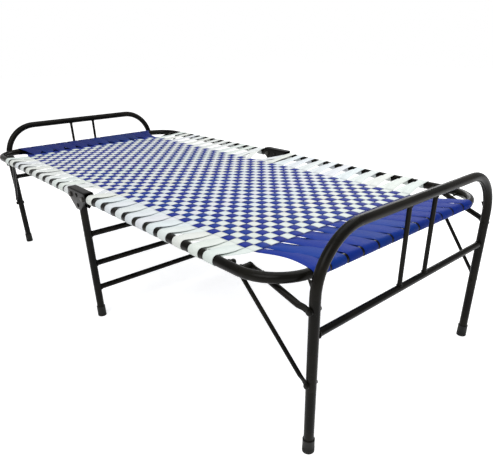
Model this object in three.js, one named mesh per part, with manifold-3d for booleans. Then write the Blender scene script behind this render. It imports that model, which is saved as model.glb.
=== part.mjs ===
// A folding charpai. Two U-shaped tube halves hang on a middle stand by floating hinges, and an
// arched leg frame folds under each half on a pair of arms and a pair of stays. The lying surface
// is woven webbing: a closed field, with bands from its edges round the rails.
// Millimetres, +Z up. The origin is on the floor under the centre, +X is the foot end and -Y the near side.
import * as THREE from 'three';
import { ConvexGeometry } from 'three/addons/geometries/ConvexGeometry.js';
import { mergeVertices } from 'three/addons/utils/BufferGeometryUtils.js';
import Module from 'manifold-3d';

const wasm = await Module();
wasm.setup();

// Bed frame: length and width over the rails
const bedLength = 1830;
const bedWidth = 910;
const railHeight = 445;
const railDiameter = 25;
const railWall = 1.5;
const cornerRadius = 115;

// End leg frames
const legDiameter = 25;
const legWall = 1.5;
const legGap = 19.5;
const legInset = 43.5;
const archRise = 104;
const archHeight = railHeight + archRise;
const archRadius = 135;
const crossbarDrop = 120;
const crossbarHeight = railHeight - crossbarDrop;
const crossbarDiameter = 19;
const crossbarWall = 1.2;
const spindleDiameter = 12;
const spindleSpacing = 114;

// Middle stand: legs as the leg tube, bars as the crossbar tube
const standBarTopHeight = 310.5;
const standBarCentreHeight = 202.5;
const standBarBottomHeight = 110.5;

// Ferrules on all six feet
const capDiameter = 30;
const capHeight = 38;
const capFloor = 4;
const capChamfer = 1.5;

// Hinge brackets: a sheet channel over the rail ends, riveted to the stand legs
const sheetThickness = 3;
const bracketMargin = 18;
const bracketSideGap = 0.5;
const bracketTopGap = 1;
const bracketEdgeDrop = 5;
const bracketShoulderDrop = 15;
const bracketShoulderRun = 6;
const bracketTipDrop = 43;
const bracketTipWidth = 32;
const railOverhang = 13;
const rivetUpperRise = 5;
const rivetLowerDrop = 29;

// Pins, bolts and rivets
const pinDiameter = 8;
const pinHeadDiameter = 14;
const pinHeadLength = 3;
const boltHeadAcross = 15;
const boltHeadLength = 5;
const nutLength = 6;
const sleeveDiameter = 12;

// Folding linkage of a leg frame
const foldDrop = 20;
const foldedClearance = 3;
const armPivotInset = 130;
const armPivotX = bedLength / 2 - armPivotInset;
const armDrop = 57;
const legArmPivotHeight = railHeight - armDrop;
const legStayPivotHeight = 200;
const armDiameter = 19;
const armPaddleThickness = 5;
const armPaddleWidth = 24;
const stayDiameter = 13;
const stayPaddleThickness = 4;
const stayPaddleWidth = 17;
const slipGap = 0.5;
const linkGap = 1.5;
const armBossDiameter = 18;
const stayBossDiameter = 15;
const stopReach = 42;
const stopDiameter = 8;
const tabReach = 8.5;
const tabLength = 26;
const tabThickness = 4;
const tabDrop = 12;

// Shares of a link's length at which its flattened ends and its sideways step begin and end
const armFlatShare = 0.1;
const armRoundShare = 0.22;
const stayFlatShare = 0.05;
const stayRoundShare = 0.11;
const stayStepShare = 0.45;

// Webbing
const fieldSideInset = 115;
const fieldWidth = bedWidth - 2 * fieldSideInset;
const fieldEndInset = 85.3;
const fieldReach = bedLength / 2 - fieldEndInset;
const matThickness = 5;
const matRise = 1.5;
const bandThickness = 2.2;
const fingerThickness = 4;
const fingerRise = 2;
const bandWidth = 40;
const hemWidth = 6;
const sideBandCount = 11;
const sideBandStart = 100;
const sideBandEndInset = 215;
const sideBandPitch = (bedLength / 2 - sideBandEndInset - sideBandStart) / (sideBandCount - 1);
const plainEndReach = 88.3;
const sideStripPitch = (fieldReach - plainEndReach) / sideBandCount;
const stripGap = 1.4;
const endBandCount = 12;
const endBandMargin = 2.1;
const endBandPitch = (fieldWidth - bandWidth - 2 * endBandMargin) / (endBandCount - 1);

// Clearances and cutting
const fitGap = 0.3;
const cutOverrun = 5;

// Facets
const tubeSides = 12;
const bendSteps = 5;
const pinSides = 8;
const capSides = 16;
const linkSides = 8;
const bandSides = 8;

// Places worked out from the sizes
const railRadius = railDiameter / 2;
const legRadius = legDiameter / 2;
const crossbarRadius = crossbarDiameter / 2;
const pinRadius = pinDiameter / 2;
const armRadius = armDiameter / 2;
const stayRadius = stayDiameter / 2;
const railEndX = bedLength / 2 - railRadius;
const railY = bedWidth / 2 - railRadius;
const railInnerY = railY - railRadius;
const legX = railEndX + railRadius + legGap + legRadius;
const legY = railInnerY - legInset - legRadius;
const legOuterY = legY + legRadius;
const legInnerY = legY - legRadius;
const tubeStartZ = capFloor + fitGap;
const hingeX = crossbarRadius + foldedClearance + legRadius + foldDrop;
const railStartX = hingeX - railOverhang;
const flangeBottomZ = railHeight + Math.hypot(railOverhang, railRadius) + bracketTopGap;
const bracketHalfLength = hingeX + bracketMargin;
const upperRivetZ = railHeight + rivetUpperRise;
const lowerRivetZ = railHeight - rivetLowerDrop;
const channelHalfWidth = railRadius + bracketSideGap;
const cheekOuter = channelHalfWidth + sheetThickness;
const fieldSideY = fieldWidth / 2;
const matBottomZ = railHeight + matRise;

// The arm folds from its standing line to one that drops by foldDrop, and the stay's rail pivot is
// the point on the rail that is as far from the standing end of the stay as from its folded end
const armLength = Math.hypot(legX - armPivotX, railHeight - legArmPivotHeight);
const foldedArmPivotX = armPivotX - Math.sqrt(armLength ** 2 - foldDrop ** 2);
const foldedStayEndX = foldedArmPivotX - (legArmPivotHeight - legStayPivotHeight);
const stayRise = railHeight - legStayPivotHeight;
const stayPivotX = (legX + foldedStayEndX) / 2
  + (stayRise ** 2 - foldDrop ** 2) / (2 * (legX - foldedStayEndX));
const stayLength = Math.hypot(legX - stayPivotX, stayRise);
const armSlope = Math.atan2(railHeight - legArmPivotHeight, legX - armPivotX);
const staySlope = Math.atan2(stayRise, legX - stayPivotX);

// Where the links run across the bed, from the leg's outer face towards the rail
const legPaddleY = legOuterY + slipGap;
const armTubeY = legOuterY + linkGap + armRadius;
const armOuterY = armTubeY + armRadius;
const stayTubeY = armOuterY + linkGap + stayRadius;
const stayOuterY = stayTubeY + stayRadius;

// Finishes
const blackEnamel = { color: 0x1b1c19, roughness: 0.3, metalness: 0.55 };
const darkSteel = { color: 0x2c2c2e, roughness: 0.42, metalness: 0.8 };
const zincSteel = { color: 0x8a8b88, roughness: 0.4, metalness: 0.9 };
const blackRubber = { color: 0x151515, roughness: 0.7, metalness: 0 };
const blueWebbing = { color: 0x2c3f9e, roughness: 0.75, metalness: 0 };
const paleWebbing = { color: 0xb9bad2, roughness: 0.75, metalness: 0 };

// Solids

function toSolid(geometry) {
  const bare = geometry.clone();
  bare.deleteAttribute('normal');
  bare.deleteAttribute('uv');
  const merged = mergeVertices(bare);
  const corners = merged.index.array;
  const kept = [];
  for (let i = 0; i < corners.length; i += 3) {
    const [a, b, c] = [corners[i], corners[i + 1], corners[i + 2]];
    if (a !== b && b !== c && c !== a) kept.push(a, b, c);
  }
  return new wasm.Manifold(new wasm.Mesh({
    numProp: 3,
    vertProperties: Float32Array.from(merged.attributes.position.array),
    triVerts: Uint32Array.from(kept),
  }));
}

function toGeometry(solid) {
  const { vertProperties, triVerts } = solid.getMesh();
  const indexed = new THREE.BufferGeometry();
  indexed.setAttribute('position', new THREE.BufferAttribute(vertProperties, 3));
  indexed.setIndex(new THREE.BufferAttribute(triVerts, 1));
  const geometry = indexed.toNonIndexed();
  geometry.computeVertexNormals();
  return geometry;
}

function cut(geometry, ...tools) {
  let solid = toSolid(geometry);
  for (const tool of tools) solid = solid.subtract(toSolid(tool));
  return toGeometry(solid);
}

function join(first, ...others) {
  let solid = toSolid(first);
  for (const other of others) solid = solid.add(toSolid(other));
  return toGeometry(solid);
}


function piece(name, finish, geometry) {
  const mesh = new THREE.Mesh(geometry, new THREE.MeshStandardMaterial(finish));
  mesh.name = name;
  return mesh;
}

// Shapes and paths

function circlePoints(radius, sides, turn = 0) {
  return Array.from({ length: sides }, (_, i) => {
    const angle = turn + (2 * Math.PI * i) / sides;
    return new THREE.Vector2(radius * Math.cos(angle), radius * Math.sin(angle));
  });
}

function tubeSection(radius, wall) {
  const section = new THREE.Shape(circlePoints(radius, tubeSides));
  section.holes.push(new THREE.Path(circlePoints(radius - wall, tubeSides)));
  return section;
}

// A path of straight runs and round bends that lies in one plane
class BentPath extends THREE.Curve {
  constructor(corners, bendRadius, planeNormal) {
    super();
    this.planeNormal = planeNormal;
    this.points = [corners[0]];
    this.tangents = [direction(corners[0], corners[1])];
    for (let i = 1; i < corners.length - 1; i += 1) this.addBend(corners, i, bendRadius);
    this.points.push(corners.at(-1));
    this.tangents.push(direction(corners.at(-2), corners.at(-1)));
  }

  addBend(corners, i, bendRadius) {
    const into = direction(corners[i - 1], corners[i]);
    const out = direction(corners[i], corners[i + 1]);
    const turn = into.angleTo(out);
    const inward = out.clone().addScaledVector(into, -Math.cos(turn)).normalize();
    const start = corners[i].clone().addScaledVector(into, -bendRadius * Math.tan(turn / 2));
    for (let step = 0; step <= bendSteps; step += 1) {
      const angle = (turn * step) / bendSteps;
      this.points.push(start.clone()
        .addScaledVector(into, bendRadius * Math.sin(angle))
        .addScaledVector(inward, bendRadius * (1 - Math.cos(angle))));
      this.tangents.push(into.clone().multiplyScalar(Math.cos(angle))
        .addScaledVector(inward, Math.sin(angle)));
    }
  }

  getPoint(t, target = new THREE.Vector3()) {
    const place = t * (this.points.length - 1);
    const i = Math.min(Math.floor(place), this.points.length - 2);
    return target.lerpVectors(this.points[i], this.points[i + 1], place - i);
  }

  getSpacedPoints() {
    return this.points.map((point) => point.clone());
  }

  computeFrenetFrames() {
    return {
      tangents: this.tangents,
      normals: this.tangents.map((tangent) => this.planeNormal.clone().cross(tangent)),
      binormals: this.tangents.map(() => this.planeNormal.clone()),
    };
  }
}

function direction(from, to) {
  return to.clone().sub(from).normalize();
}

function sweep(section, path) {
  return new THREE.ExtrudeGeometry(section, { extrudePath: path, steps: path.points.length - 1 });
}

function cylinderAcross(radius, length, x, z, sides) {
  return new THREE.CylinderGeometry(radius, radius, length, sides).translate(x, 0, z);
}

// A cutter for a bore across the bed whose flat sides clear the pin that turns in it
function bore(radius, length, x, z) {
  return cylinderAcross((radius + fitGap) / Math.cos(Math.PI / pinSides), length, x, z, pinSides);
}

function cylinderUpright(radius, bottom, top, x, y, sides = tubeSides) {
  return new THREE.CylinderGeometry(radius, radius, top - bottom, sides)
    .rotateX(Math.PI / 2).translate(x, y, (top + bottom) / 2);
}

function box(x0, x1, y0, y1, z0, z1) {
  return new THREE.BoxGeometry(x1 - x0, y1 - y0, z1 - z0)
    .translate((x0 + x1) / 2, (y0 + y1) / 2, (z0 + z1) / 2);
}

// A turned piece on an axis across the bed, given by its radii between heights along that axis
function turned(stages, sides = pinSides) {
  const profile = [new THREE.Vector2(0, stages[0].from)];
  for (const { radius, from, to } of stages) {
    profile.push(new THREE.Vector2(radius, from), new THREE.Vector2(radius, to));
  }
  profile.push(new THREE.Vector2(0, stages.at(-1).to));
  return new THREE.LatheGeometry(profile, sides);
}

function hollowTurned(inner, outer, from, to) {
  const profile = [[inner, from], [outer, from], [outer, to], [inner, to], [inner, from]];
  return new THREE.LatheGeometry(profile.map(([r, y]) => new THREE.Vector2(r, y)), pinSides);
}

// A piece made for the +Y side about height zero, which it is symmetric to, put on either side
function onSide(side, geometry, x, z) {
  return geometry.clone().rotateX(side > 0 ? 0 : Math.PI).translate(x, 0, z);
}

function onBothSides(geometry, x, z) {
  return [1, -1].map((side) => onSide(side, geometry, x, z));
}

// Rails

function railPath() {
  const corner = (x, y) => new THREE.Vector3(x, y, railHeight);
  return new BentPath([
    corner(railStartX, railY),
    corner(railEndX, railY),
    corner(railEndX, -railY),
    corner(railStartX, -railY),
  ], cornerRadius, new THREE.Vector3(0, 0, 1));
}

// The inside of the rail up to the middle of its wall, where what is welded to the rail ends
function railCore() {
  return sweep(new THREE.Shape(circlePoints(railRadius - railWall / 2, tubeSides)), railPath());
}

// A boss welded to the rail's inner side, bored for the pin of a link
function pivotBoss(diameter, linkOuterY) {
  const face = linkOuterY + slipGap;
  const boss = turned([{ radius: diameter / 2, from: face, to: railY }]);
  const boreRadius = (pinRadius + fitGap) / Math.cos(Math.PI / pinSides);
  return cut(boss, turned([{ radius: boreRadius, from: face - cutOverrun, to: railInnerY }]));
}

// A peg on the rail that the arm meets from below when the legs stand
function armStop() {
  return turned([{ radius: stopDiameter / 2, from: armTubeY, to: railY }]);
}

function railFrame() {
  const tube = sweep(tubeSection(railRadius, railWall), railPath());
  const armTop = railHeight - stopReach * Math.tan(armSlope) + armRadius / Math.cos(armSlope);
  const welded = [
    ...onBothSides(pivotBoss(armBossDiameter, armOuterY), armPivotX, railHeight),
    ...onBothSides(pivotBoss(stayBossDiameter, stayOuterY), stayPivotX, railHeight),
    ...onBothSides(armStop(), armPivotX + stopReach, armTop + fitGap + stopDiameter / 2),
  ].map((geometry) => cut(geometry, railCore()));
  const sleeveHole = bore(sleeveDiameter / 2, bedWidth + cutOverrun, hingeX, railHeight);
  return cut(join(tube, ...welded), sleeveHole);
}

function railPin(paddleInnerY) {
  return turned([
    { radius: pinHeadDiameter / 2, from: paddleInnerY - fitGap - pinHeadLength, to: paddleInnerY - fitGap },
    { radius: pinRadius, from: paddleInnerY - fitGap, to: railInnerY - fitGap },
  ]);
}

// Links

// A bar with flattened ends that runs along +X from one pivot to the other. Each station gives the
// place along the bar, its middle across the bed, its half thickness, half width and squareness.
function flattenedBar(stations, boreXs) {
  const rings = stations.map(({ at, across, thin, wide, square }) => (
    circlePoints(1, linkSides, Math.PI / linkSides).map(({ x, y }) => new THREE.Vector3(
      at,
      across + thin * Math.sign(x) * Math.abs(x) ** square,
      wide * Math.sign(y) * Math.abs(y) ** square,
    ))));
  const positions = rings.flat().flatMap((point) => point.toArray());
  const faces = [];
  for (let ring = 0; ring < rings.length - 1; ring += 1) {
    for (let i = 0; i < linkSides; i += 1) {
      const a = ring * linkSides + i;
      const b = ring * linkSides + ((i + 1) % linkSides);
      faces.push(a, b, b + linkSides, a, b + linkSides, a + linkSides);
    }
  }
  const last = (rings.length - 1) * linkSides;
  for (let i = 1; i < linkSides - 1; i += 1) {
    faces.push(0, i + 1, i);
    faces.push(last, last + i, last + i + 1);
  }
  const bar = new THREE.BufferGeometry();
  bar.setAttribute('position', new THREE.Float32BufferAttribute(positions, 3));
  bar.setIndex(faces);
  return cut(bar, ...boreXs.map((x) => bore(pinRadius, bedWidth, x, 0)));
}

const paddleSquareShare = 0.35;
const roundTipShares = [0.96, 0.7, 0.35, 0];

// The half-round end of a flattened bar, from its tip (outward = -1) or towards it (outward = 1)
function paddleTip(pivotAt, outward, across, thickness, width) {
  const tip = roundTipShares.map((share) => ({
    at: pivotAt + (outward * share * width) / 2,
    across,
    thin: thickness / 2,
    wide: (Math.sqrt(1 - share ** 2) * width) / 2,
    square: paddleSquareShare,
  }));
  return outward < 0 ? tip : tip.reverse();
}

function armBar() {
  const railEndY = armOuterY - armPaddleThickness / 2;
  const legEndY = legPaddleY + armPaddleThickness / 2;
  const flat = { thin: armPaddleThickness / 2, wide: armPaddleWidth / 2, square: paddleSquareShare };
  const round = { across: armTubeY, thin: armRadius, wide: armRadius, square: 1 };
  return flattenedBar([
    ...paddleTip(0, -1, railEndY, armPaddleThickness, armPaddleWidth),
    { at: armLength * armFlatShare, across: railEndY, ...flat },
    { at: armLength * armRoundShare, ...round },
    { at: armLength * (1 - armRoundShare), ...round },
    { at: armLength * (1 - armFlatShare), across: legEndY, ...flat },
    ...paddleTip(armLength, 1, legEndY, armPaddleThickness, armPaddleWidth),
  ], [0, armLength]);
}

function stayBar() {
  const railEndY = stayOuterY - stayPaddleThickness / 2;
  const legEndY = legPaddleY + stayPaddleThickness / 2;
  const flat = { thin: stayPaddleThickness / 2, wide: stayPaddleWidth / 2, square: paddleSquareShare };
  const round = { thin: stayRadius, wide: stayRadius, square: 1 };
  const stepEndY = legPaddleY + stayRadius;
  const bar = flattenedBar([
    ...paddleTip(0, -1, railEndY, stayPaddleThickness, stayPaddleWidth),
    { at: stayLength * stayFlatShare, across: railEndY, ...flat },
    { at: stayLength * stayRoundShare, across: stayTubeY, ...round },
    { at: stayLength * stayStepShare, across: stayTubeY, ...round },
    { at: stayLength * (1 - stayRoundShare), across: stepEndY, ...round },
    { at: stayLength * (1 - stayFlatShare), across: legEndY, ...flat },
    ...paddleTip(stayLength, 1, legEndY, stayPaddleThickness, stayPaddleWidth),
  ], [0]);
  return join(bar, stayEndHead());
}

// The head of the pin that is fast in the stay's leg end
function stayEndHead() {
  const face = legPaddleY + stayPaddleThickness;
  return turned([{ radius: pinHeadDiameter / 2, from: face - slipGap, to: face + pinHeadLength }])
    .translate(stayLength, 0, 0);
}

function linkInPlace(bar, side, slope, x) {
  return bar.rotateX(side > 0 ? 0 : Math.PI).rotateY(slope).translate(x, 0, railHeight);
}

// Leg frames

// The stud of an arm goes through the leg, and its outer head holds the arm
function legArmStud() {
  const armFace = legPaddleY + armPaddleThickness + fitGap;
  return turned([
    { radius: pinHeadDiameter / 2, from: legInnerY - pinHeadLength, to: legInnerY + legWall },
    { radius: pinRadius, from: legInnerY + legWall, to: armFace },
    { radius: pinHeadDiameter / 2, from: armFace, to: armFace + pinHeadLength },
  ]);
}

// The stud that the stay's pin meets ends flush with the leg
function legStayStud() {
  return turned([
    { radius: pinHeadDiameter / 2, from: legInnerY - pinHeadLength, to: legInnerY + legWall },
    { radius: pinRadius, from: legInnerY + legWall, to: legOuterY },
  ]);
}

// A small gusset on the inner side of a leg, under the rail's corner
function legTab(y) {
  const top = railHeight - tabDrop;
  const corners = [y - tabThickness / 2, y + tabThickness / 2].flatMap((across) => [
    new THREE.Vector3(legX, across, top),
    new THREE.Vector3(legX - legRadius - tabReach, across, top),
    new THREE.Vector3(legX, across, top - tabLength),
  ]);
  const bottom = top - tabLength - cutOverrun;
  const core = cylinderUpright(legRadius - legWall / 2, bottom, top + cutOverrun, legX, y);
  return cut(new ConvexGeometry(corners), core);
}

function legFrame() {
  const corner = (y, z) => new THREE.Vector3(legX, y, z);
  const path = new BentPath([
    corner(legY, tubeStartZ),
    corner(legY, archHeight),
    corner(-legY, archHeight),
    corner(-legY, tubeStartZ),
  ], archRadius, new THREE.Vector3(1, 0, 0));
  return join(
    sweep(tubeSection(legRadius, legWall), path),
    ...onBothSides(legArmStud(), legX, legArmPivotHeight),
    ...onBothSides(legStayStud(), legX, legStayPivotHeight),
    legTab(legY),
    legTab(-legY),
  );
}

// A straight tube across the bed between two uprights, its ends shaped to fit them
function crossTube(x, z, uprightY) {
  const path = new BentPath([
    new THREE.Vector3(x, uprightY, z),
    new THREE.Vector3(x, -uprightY, z),
  ], 0, new THREE.Vector3(0, 0, 1));
  const tube = sweep(tubeSection(crossbarRadius, crossbarWall), path);
  const uprights = [uprightY, -uprightY].map((y) => cylinderUpright(
    legRadius + fitGap,
    z - crossbarDiameter,
    z + crossbarDiameter,
    x,
    y,
  ));
  return cut(tube, ...uprights);
}

function spindle(y) {
  const rod = cylinderUpright(spindleDiameter / 2, crossbarHeight, archHeight, legX, y);
  return cut(
    rod,
    cylinderAcross(crossbarRadius + fitGap, bedWidth, legX, crossbarHeight, tubeSides),
    cylinderAcross(legRadius + fitGap, bedWidth, legX, archHeight, tubeSides),
  );
}

function footCap(x, y) {
  const outer = capDiameter / 2;
  const bore = legRadius + fitGap;
  const profile = [
    [0, 0], [outer - capChamfer, 0], [outer, capChamfer], [outer, capHeight - capChamfer],
    [outer - capChamfer, capHeight], [bore, capHeight], [bore, capFloor], [0, capFloor],
  ];
  const points = profile.map(([radius, height]) => new THREE.Vector2(radius, height));
  return new THREE.LatheGeometry(points, capSides).rotateX(Math.PI / 2).translate(x, y, 0);
}

// Middle stand

function standLeg(y) {
  const path = new BentPath([
    new THREE.Vector3(0, y, tubeStartZ),
    new THREE.Vector3(0, y, flangeBottomZ - fitGap),
  ], 0, new THREE.Vector3(1, 0, 0));
  const tube = sweep(tubeSection(legRadius, legWall), path);
  const bores = [upperRivetZ, lowerRivetZ]
    .map((z) => bore(pinRadius, bedWidth + 2 * cheekOuter, 0, z));
  return cut(tube, ...bores);
}

function hingeBracket(y) {
  const top = flangeBottomZ + sheetThickness;
  const half = [
    [bracketHalfLength, top],
    [bracketHalfLength, railHeight - bracketEdgeDrop],
    [bracketHalfLength - bracketShoulderRun * 2, railHeight - bracketShoulderDrop],
    [bracketTipWidth / 2, railHeight - bracketTipDrop],
  ];
  const mirrored = half.map(([x, z]) => [-x, z]).reverse();
  const outline = new THREE.Shape([...half, ...mirrored].map(([x, z]) => new THREE.Vector2(x, z)));
  const block = new THREE.ExtrudeGeometry(outline, { depth: 2 * cheekOuter, bevelEnabled: false })
    .translate(0, 0, -cheekOuter).rotateX(Math.PI / 2).translate(0, y, 0);
  const channel = box(
    -bracketHalfLength - cutOverrun,
    bracketHalfLength + cutOverrun,
    y - channelHalfWidth,
    y + channelHalfWidth,
    railHeight - bracketTipDrop - cutOverrun,
    flangeBottomZ,
  );
  const boreLength = bedWidth + 2 * cheekOuter;
  const bores = [
    [hingeX, railHeight],
    [-hingeX, railHeight],
    [0, upperRivetZ],
    [0, lowerRivetZ],
  ].map(([x, z]) => bore(pinRadius, boreLength, x, z));
  return cut(block, channel, ...bores);
}

function hexPrism(across, from, to) {
  return new THREE.CylinderGeometry(across / 2, across / 2, to - from, 6).translate(0, (from + to) / 2, 0);
}

// A bolt with its nut on, the shank passing both cheeks and the sleeve
function hingeBolt() {
  const headFace = railY + cheekOuter + fitGap;
  const nutFace = railY - cheekOuter - fitGap;
  const shank = turned([
    { radius: pinRadius, from: nutFace - nutLength - fitGap, to: headFace + boltHeadLength / 2 },
  ]);
  return join(
    shank,
    hexPrism(boltHeadAcross, headFace, headFace + boltHeadLength),
    hexPrism(boltHeadAcross, nutFace - nutLength, nutFace),
  );
}

function bracketRivet() {
  const inner = railY - cheekOuter - fitGap;
  const outer = railY + cheekOuter + fitGap;
  return turned([
    { radius: pinHeadDiameter / 2, from: inner - pinHeadLength, to: inner },
    { radius: pinRadius, from: inner, to: outer },
    { radius: pinHeadDiameter / 2, from: outer, to: outer + pinHeadLength },
  ]);
}

function hingeSleeve() {
  return hollowTurned(
    (pinRadius + fitGap) / Math.cos(Math.PI / pinSides),
    sleeveDiameter / 2,
    railY - channelHalfWidth + fitGap,
    railY + channelHalfWidth - fitGap,
  );
}

// Webbing

function mat(fromX, toX) {
  return box(fromX, toX, -fieldSideY, fieldSideY, matBottomZ, matBottomZ + matThickness);
}

const bandInner = railRadius + fitGap;
const bandOuter = bandInner + bandThickness;
const hemBottomZ = railHeight + fingerRise;

// A band is a wrap round the rail and a finger that slopes from it to the edge of the field
function band(wrap, edgePoints, railPoints) {
  const wrapTop = railHeight + bandOuter;
  const corners = [
    ...edgePoints.flatMap(([x, y]) => [
      new THREE.Vector3(x, y, hemBottomZ),
      new THREE.Vector3(x, y, hemBottomZ + fingerThickness),
    ]),
    ...railPoints.flatMap(([x, y]) => [
      new THREE.Vector3(x, y, wrapTop - bandThickness),
      new THREE.Vector3(x, y, wrapTop),
    ]),
  ];
  return join(wrap, new ConvexGeometry(corners));
}

function octagonWrap() {
  const radius = bandOuter / Math.cos(Math.PI / bandSides);
  const outline = new THREE.Shape(circlePoints(radius, bandSides, Math.PI / bandSides));
  return new THREE.ExtrudeGeometry(outline, { depth: bandWidth, bevelEnabled: false })
    .translate(0, 0, -bandWidth / 2);
}

// The free space for the rail inside the wraps, with sides that run parallel to theirs
function wrapSpace() {
  const radius = bandInner / Math.cos(Math.PI / bandSides);
  return sweep(new THREE.Shape(circlePoints(radius, bandSides, Math.PI / bandSides)), railPath());
}

// The bands of one edge hang together along a hem next to the field
function sideBands(side) {
  const edgeY = side * (fieldSideY + fitGap);
  const firstX = hingeX + 2 * fitGap;
  const bands = [];
  for (let i = 0; i < sideBandCount; i += 1) {
    const x = sideBandStart + i * sideBandPitch;
    const edgeFrom = Math.max(i * sideStripPitch + stripGap / 2, firstX);
    const edgeTo = (i + 1) * sideStripPitch - stripGap / 2;
    const wrap = octagonWrap().rotateX(Math.PI / 2).rotateZ(Math.PI / 2)
      .translate(x, side * railY, railHeight);
    bands.push(band(
      wrap,
      [[edgeFrom, edgeY], [edgeTo, edgeY]],
      [[x - bandWidth / 2, side * railY], [x + bandWidth / 2, side * railY]],
    ));
  }
  const lastX = sideBandCount * sideStripPitch - stripGap / 2;
  const hemSides = [edgeY, edgeY + side * hemWidth].sort((a, b) => a - b);
  const hem = box(firstX, lastX, ...hemSides, hemBottomZ, hemBottomZ + fingerThickness);
  return cut(join(hem, ...bands), wrapSpace());
}

function endBands() {
  const edgeX = fieldReach + fitGap;
  const edgePitch = fieldWidth / endBandCount;
  const bands = [];
  for (let i = 0; i < endBandCount; i += 1) {
    const place = i - (endBandCount - 1) / 2;
    const y = place * endBandPitch;
    const edgeY = place * edgePitch;
    const edgeHalf = (edgePitch - stripGap) / 2;
    const wrap = octagonWrap().rotateX(Math.PI / 2).translate(railEndX, y, railHeight);
    bands.push(band(
      wrap,
      [[edgeX, edgeY - edgeHalf], [edgeX, edgeY + edgeHalf]],
      [[railEndX, y - bandWidth / 2], [railEndX, y + bandWidth / 2]],
    ));
  }
  const hemHalf = (fieldWidth - stripGap) / 2;
  const hem = box(edgeX, edgeX + hemWidth, -hemHalf, hemHalf, hemBottomZ, hemBottomZ + fingerThickness);
  return cut(join(hem, ...bands), wrapSpace());
}

// One half of the bed in the foot end's place, with names for the end and for its two sides
function bedHalf(end, plusYSide, minusYSide) {
  const half = new THREE.Group();
  half.add(
    piece(`frame_${end}`, blackEnamel, railFrame()),
    piece(`mat_${end}`, paleWebbing, mat(hingeX + fitGap, fieldReach)),
    piece(`end_bands_${end}`, blueWebbing, endBands()),
    piece(`leg_frame_${end}`, blackEnamel, legFrame()),
    piece(`crossbar_${end}`, blackEnamel, crossTube(legX, crossbarHeight, legY)),
  );
  for (const [sideName, side] of [[plusYSide, 1], [minusYSide, -1]]) {
    const place = `${end}_${sideName}`;
    half.add(
      piece(`hinge_sleeve_${place}`, zincSteel, onSide(side, hingeSleeve(), hingeX, railHeight)),
      piece(`side_bands_${place}`, paleWebbing, sideBands(side)),
      piece(`arm_${place}`, blackEnamel, linkInPlace(armBar(), side, armSlope, armPivotX)),
      piece(`stay_${place}`, blackEnamel, linkInPlace(stayBar(), side, staySlope, stayPivotX)),
      piece(`arm_pivot_pin_${place}`, zincSteel, onSide(
        side,
        railPin(armOuterY - armPaddleThickness),
        armPivotX,
        railHeight,
      )),
      piece(`stay_pivot_pin_${place}`, zincSteel, onSide(
        side,
        railPin(stayOuterY - stayPaddleThickness),
        stayPivotX,
        railHeight,
      )),
      piece(`spindle_${place}`, blackEnamel, spindle((side * spindleSpacing) / 2)),
      piece(`foot_cap_${place}`, blackRubber, footCap(legX, side * legY)),
    );
  }
  return half;
}

function middleStand() {
  const stand = new THREE.Group();
  for (const [sideName, side] of [['far', 1], ['near', -1]]) {
    const y = side * railY;
    stand.add(
      piece(`middle_leg_${sideName}`, blackEnamel, standLeg(y)),
      piece(`middle_foot_${sideName}`, blackRubber, footCap(0, y)),
      piece(`hinge_bracket_${sideName}`, darkSteel, hingeBracket(y)),
      piece(`hinge_bolt_foot_${sideName}`, zincSteel, onSide(side, hingeBolt(), hingeX, railHeight)),
      piece(`hinge_bolt_head_${sideName}`, zincSteel, onSide(side, hingeBolt(), -hingeX, railHeight)),
      piece(`upper_rivet_${sideName}`, darkSteel, onSide(side, bracketRivet(), 0, upperRivetZ)),
      piece(`lower_rivet_${sideName}`, darkSteel, onSide(side, bracketRivet(), 0, lowerRivetZ)),
    );
  }
  stand.add(
    piece('middle_bar_top', blackEnamel, crossTube(0, standBarTopHeight, railY)),
    piece('middle_bar_centre', blackEnamel, crossTube(0, standBarCentreHeight, railY)),
    piece('middle_bar_bottom', blackEnamel, crossTube(0, standBarBottomHeight, railY)),
    piece('mat_middle', paleWebbing, mat(-hingeX + fitGap, hingeX - fitGap)),
  );
  return stand;
}

const footHalf = bedHalf('foot', 'far', 'near');
const headHalf = bedHalf('head', 'near', 'far');
headHalf.rotation.z = Math.PI;

const charpai = new THREE.Group();
charpai.add(middleStand(), footHalf, headHalf);

export default charpai;
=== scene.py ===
"""A folding charpai: enamelled steel tube, riveted hinge brackets and a field of woven webbing.

Metres, +Z up. +X is the foot end and -Y the near side, as in the frame. The head half is the foot
half turned half round about Z, and each repeated piece is modelled once and copied.
"""
import math
import random
from contextlib import contextmanager

import bmesh
import bpy
import numpy as np
from bpy.props import FloatProperty, FloatVectorProperty, IntProperty, PointerProperty
from mathutils import Matrix, Vector


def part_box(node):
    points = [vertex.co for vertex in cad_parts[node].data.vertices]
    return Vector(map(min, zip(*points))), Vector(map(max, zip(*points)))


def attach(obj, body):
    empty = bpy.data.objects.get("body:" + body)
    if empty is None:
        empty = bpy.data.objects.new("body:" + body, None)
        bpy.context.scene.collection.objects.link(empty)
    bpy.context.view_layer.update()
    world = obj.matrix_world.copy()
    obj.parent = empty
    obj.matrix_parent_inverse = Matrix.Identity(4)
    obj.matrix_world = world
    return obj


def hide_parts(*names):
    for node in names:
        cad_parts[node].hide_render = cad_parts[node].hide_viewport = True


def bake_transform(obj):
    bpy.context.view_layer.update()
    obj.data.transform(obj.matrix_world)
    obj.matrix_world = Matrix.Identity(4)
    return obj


bl_info = {
    "name": "Folding charpai",
    "version": (1, 0, 0),
    "blender": (4, 5, 0),
    "location": "View3D > Sidebar > Charpai",
    "description": "Models a folding bed of steel tube and woven webbing round its frame",
    "category": "Object",
}

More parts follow.
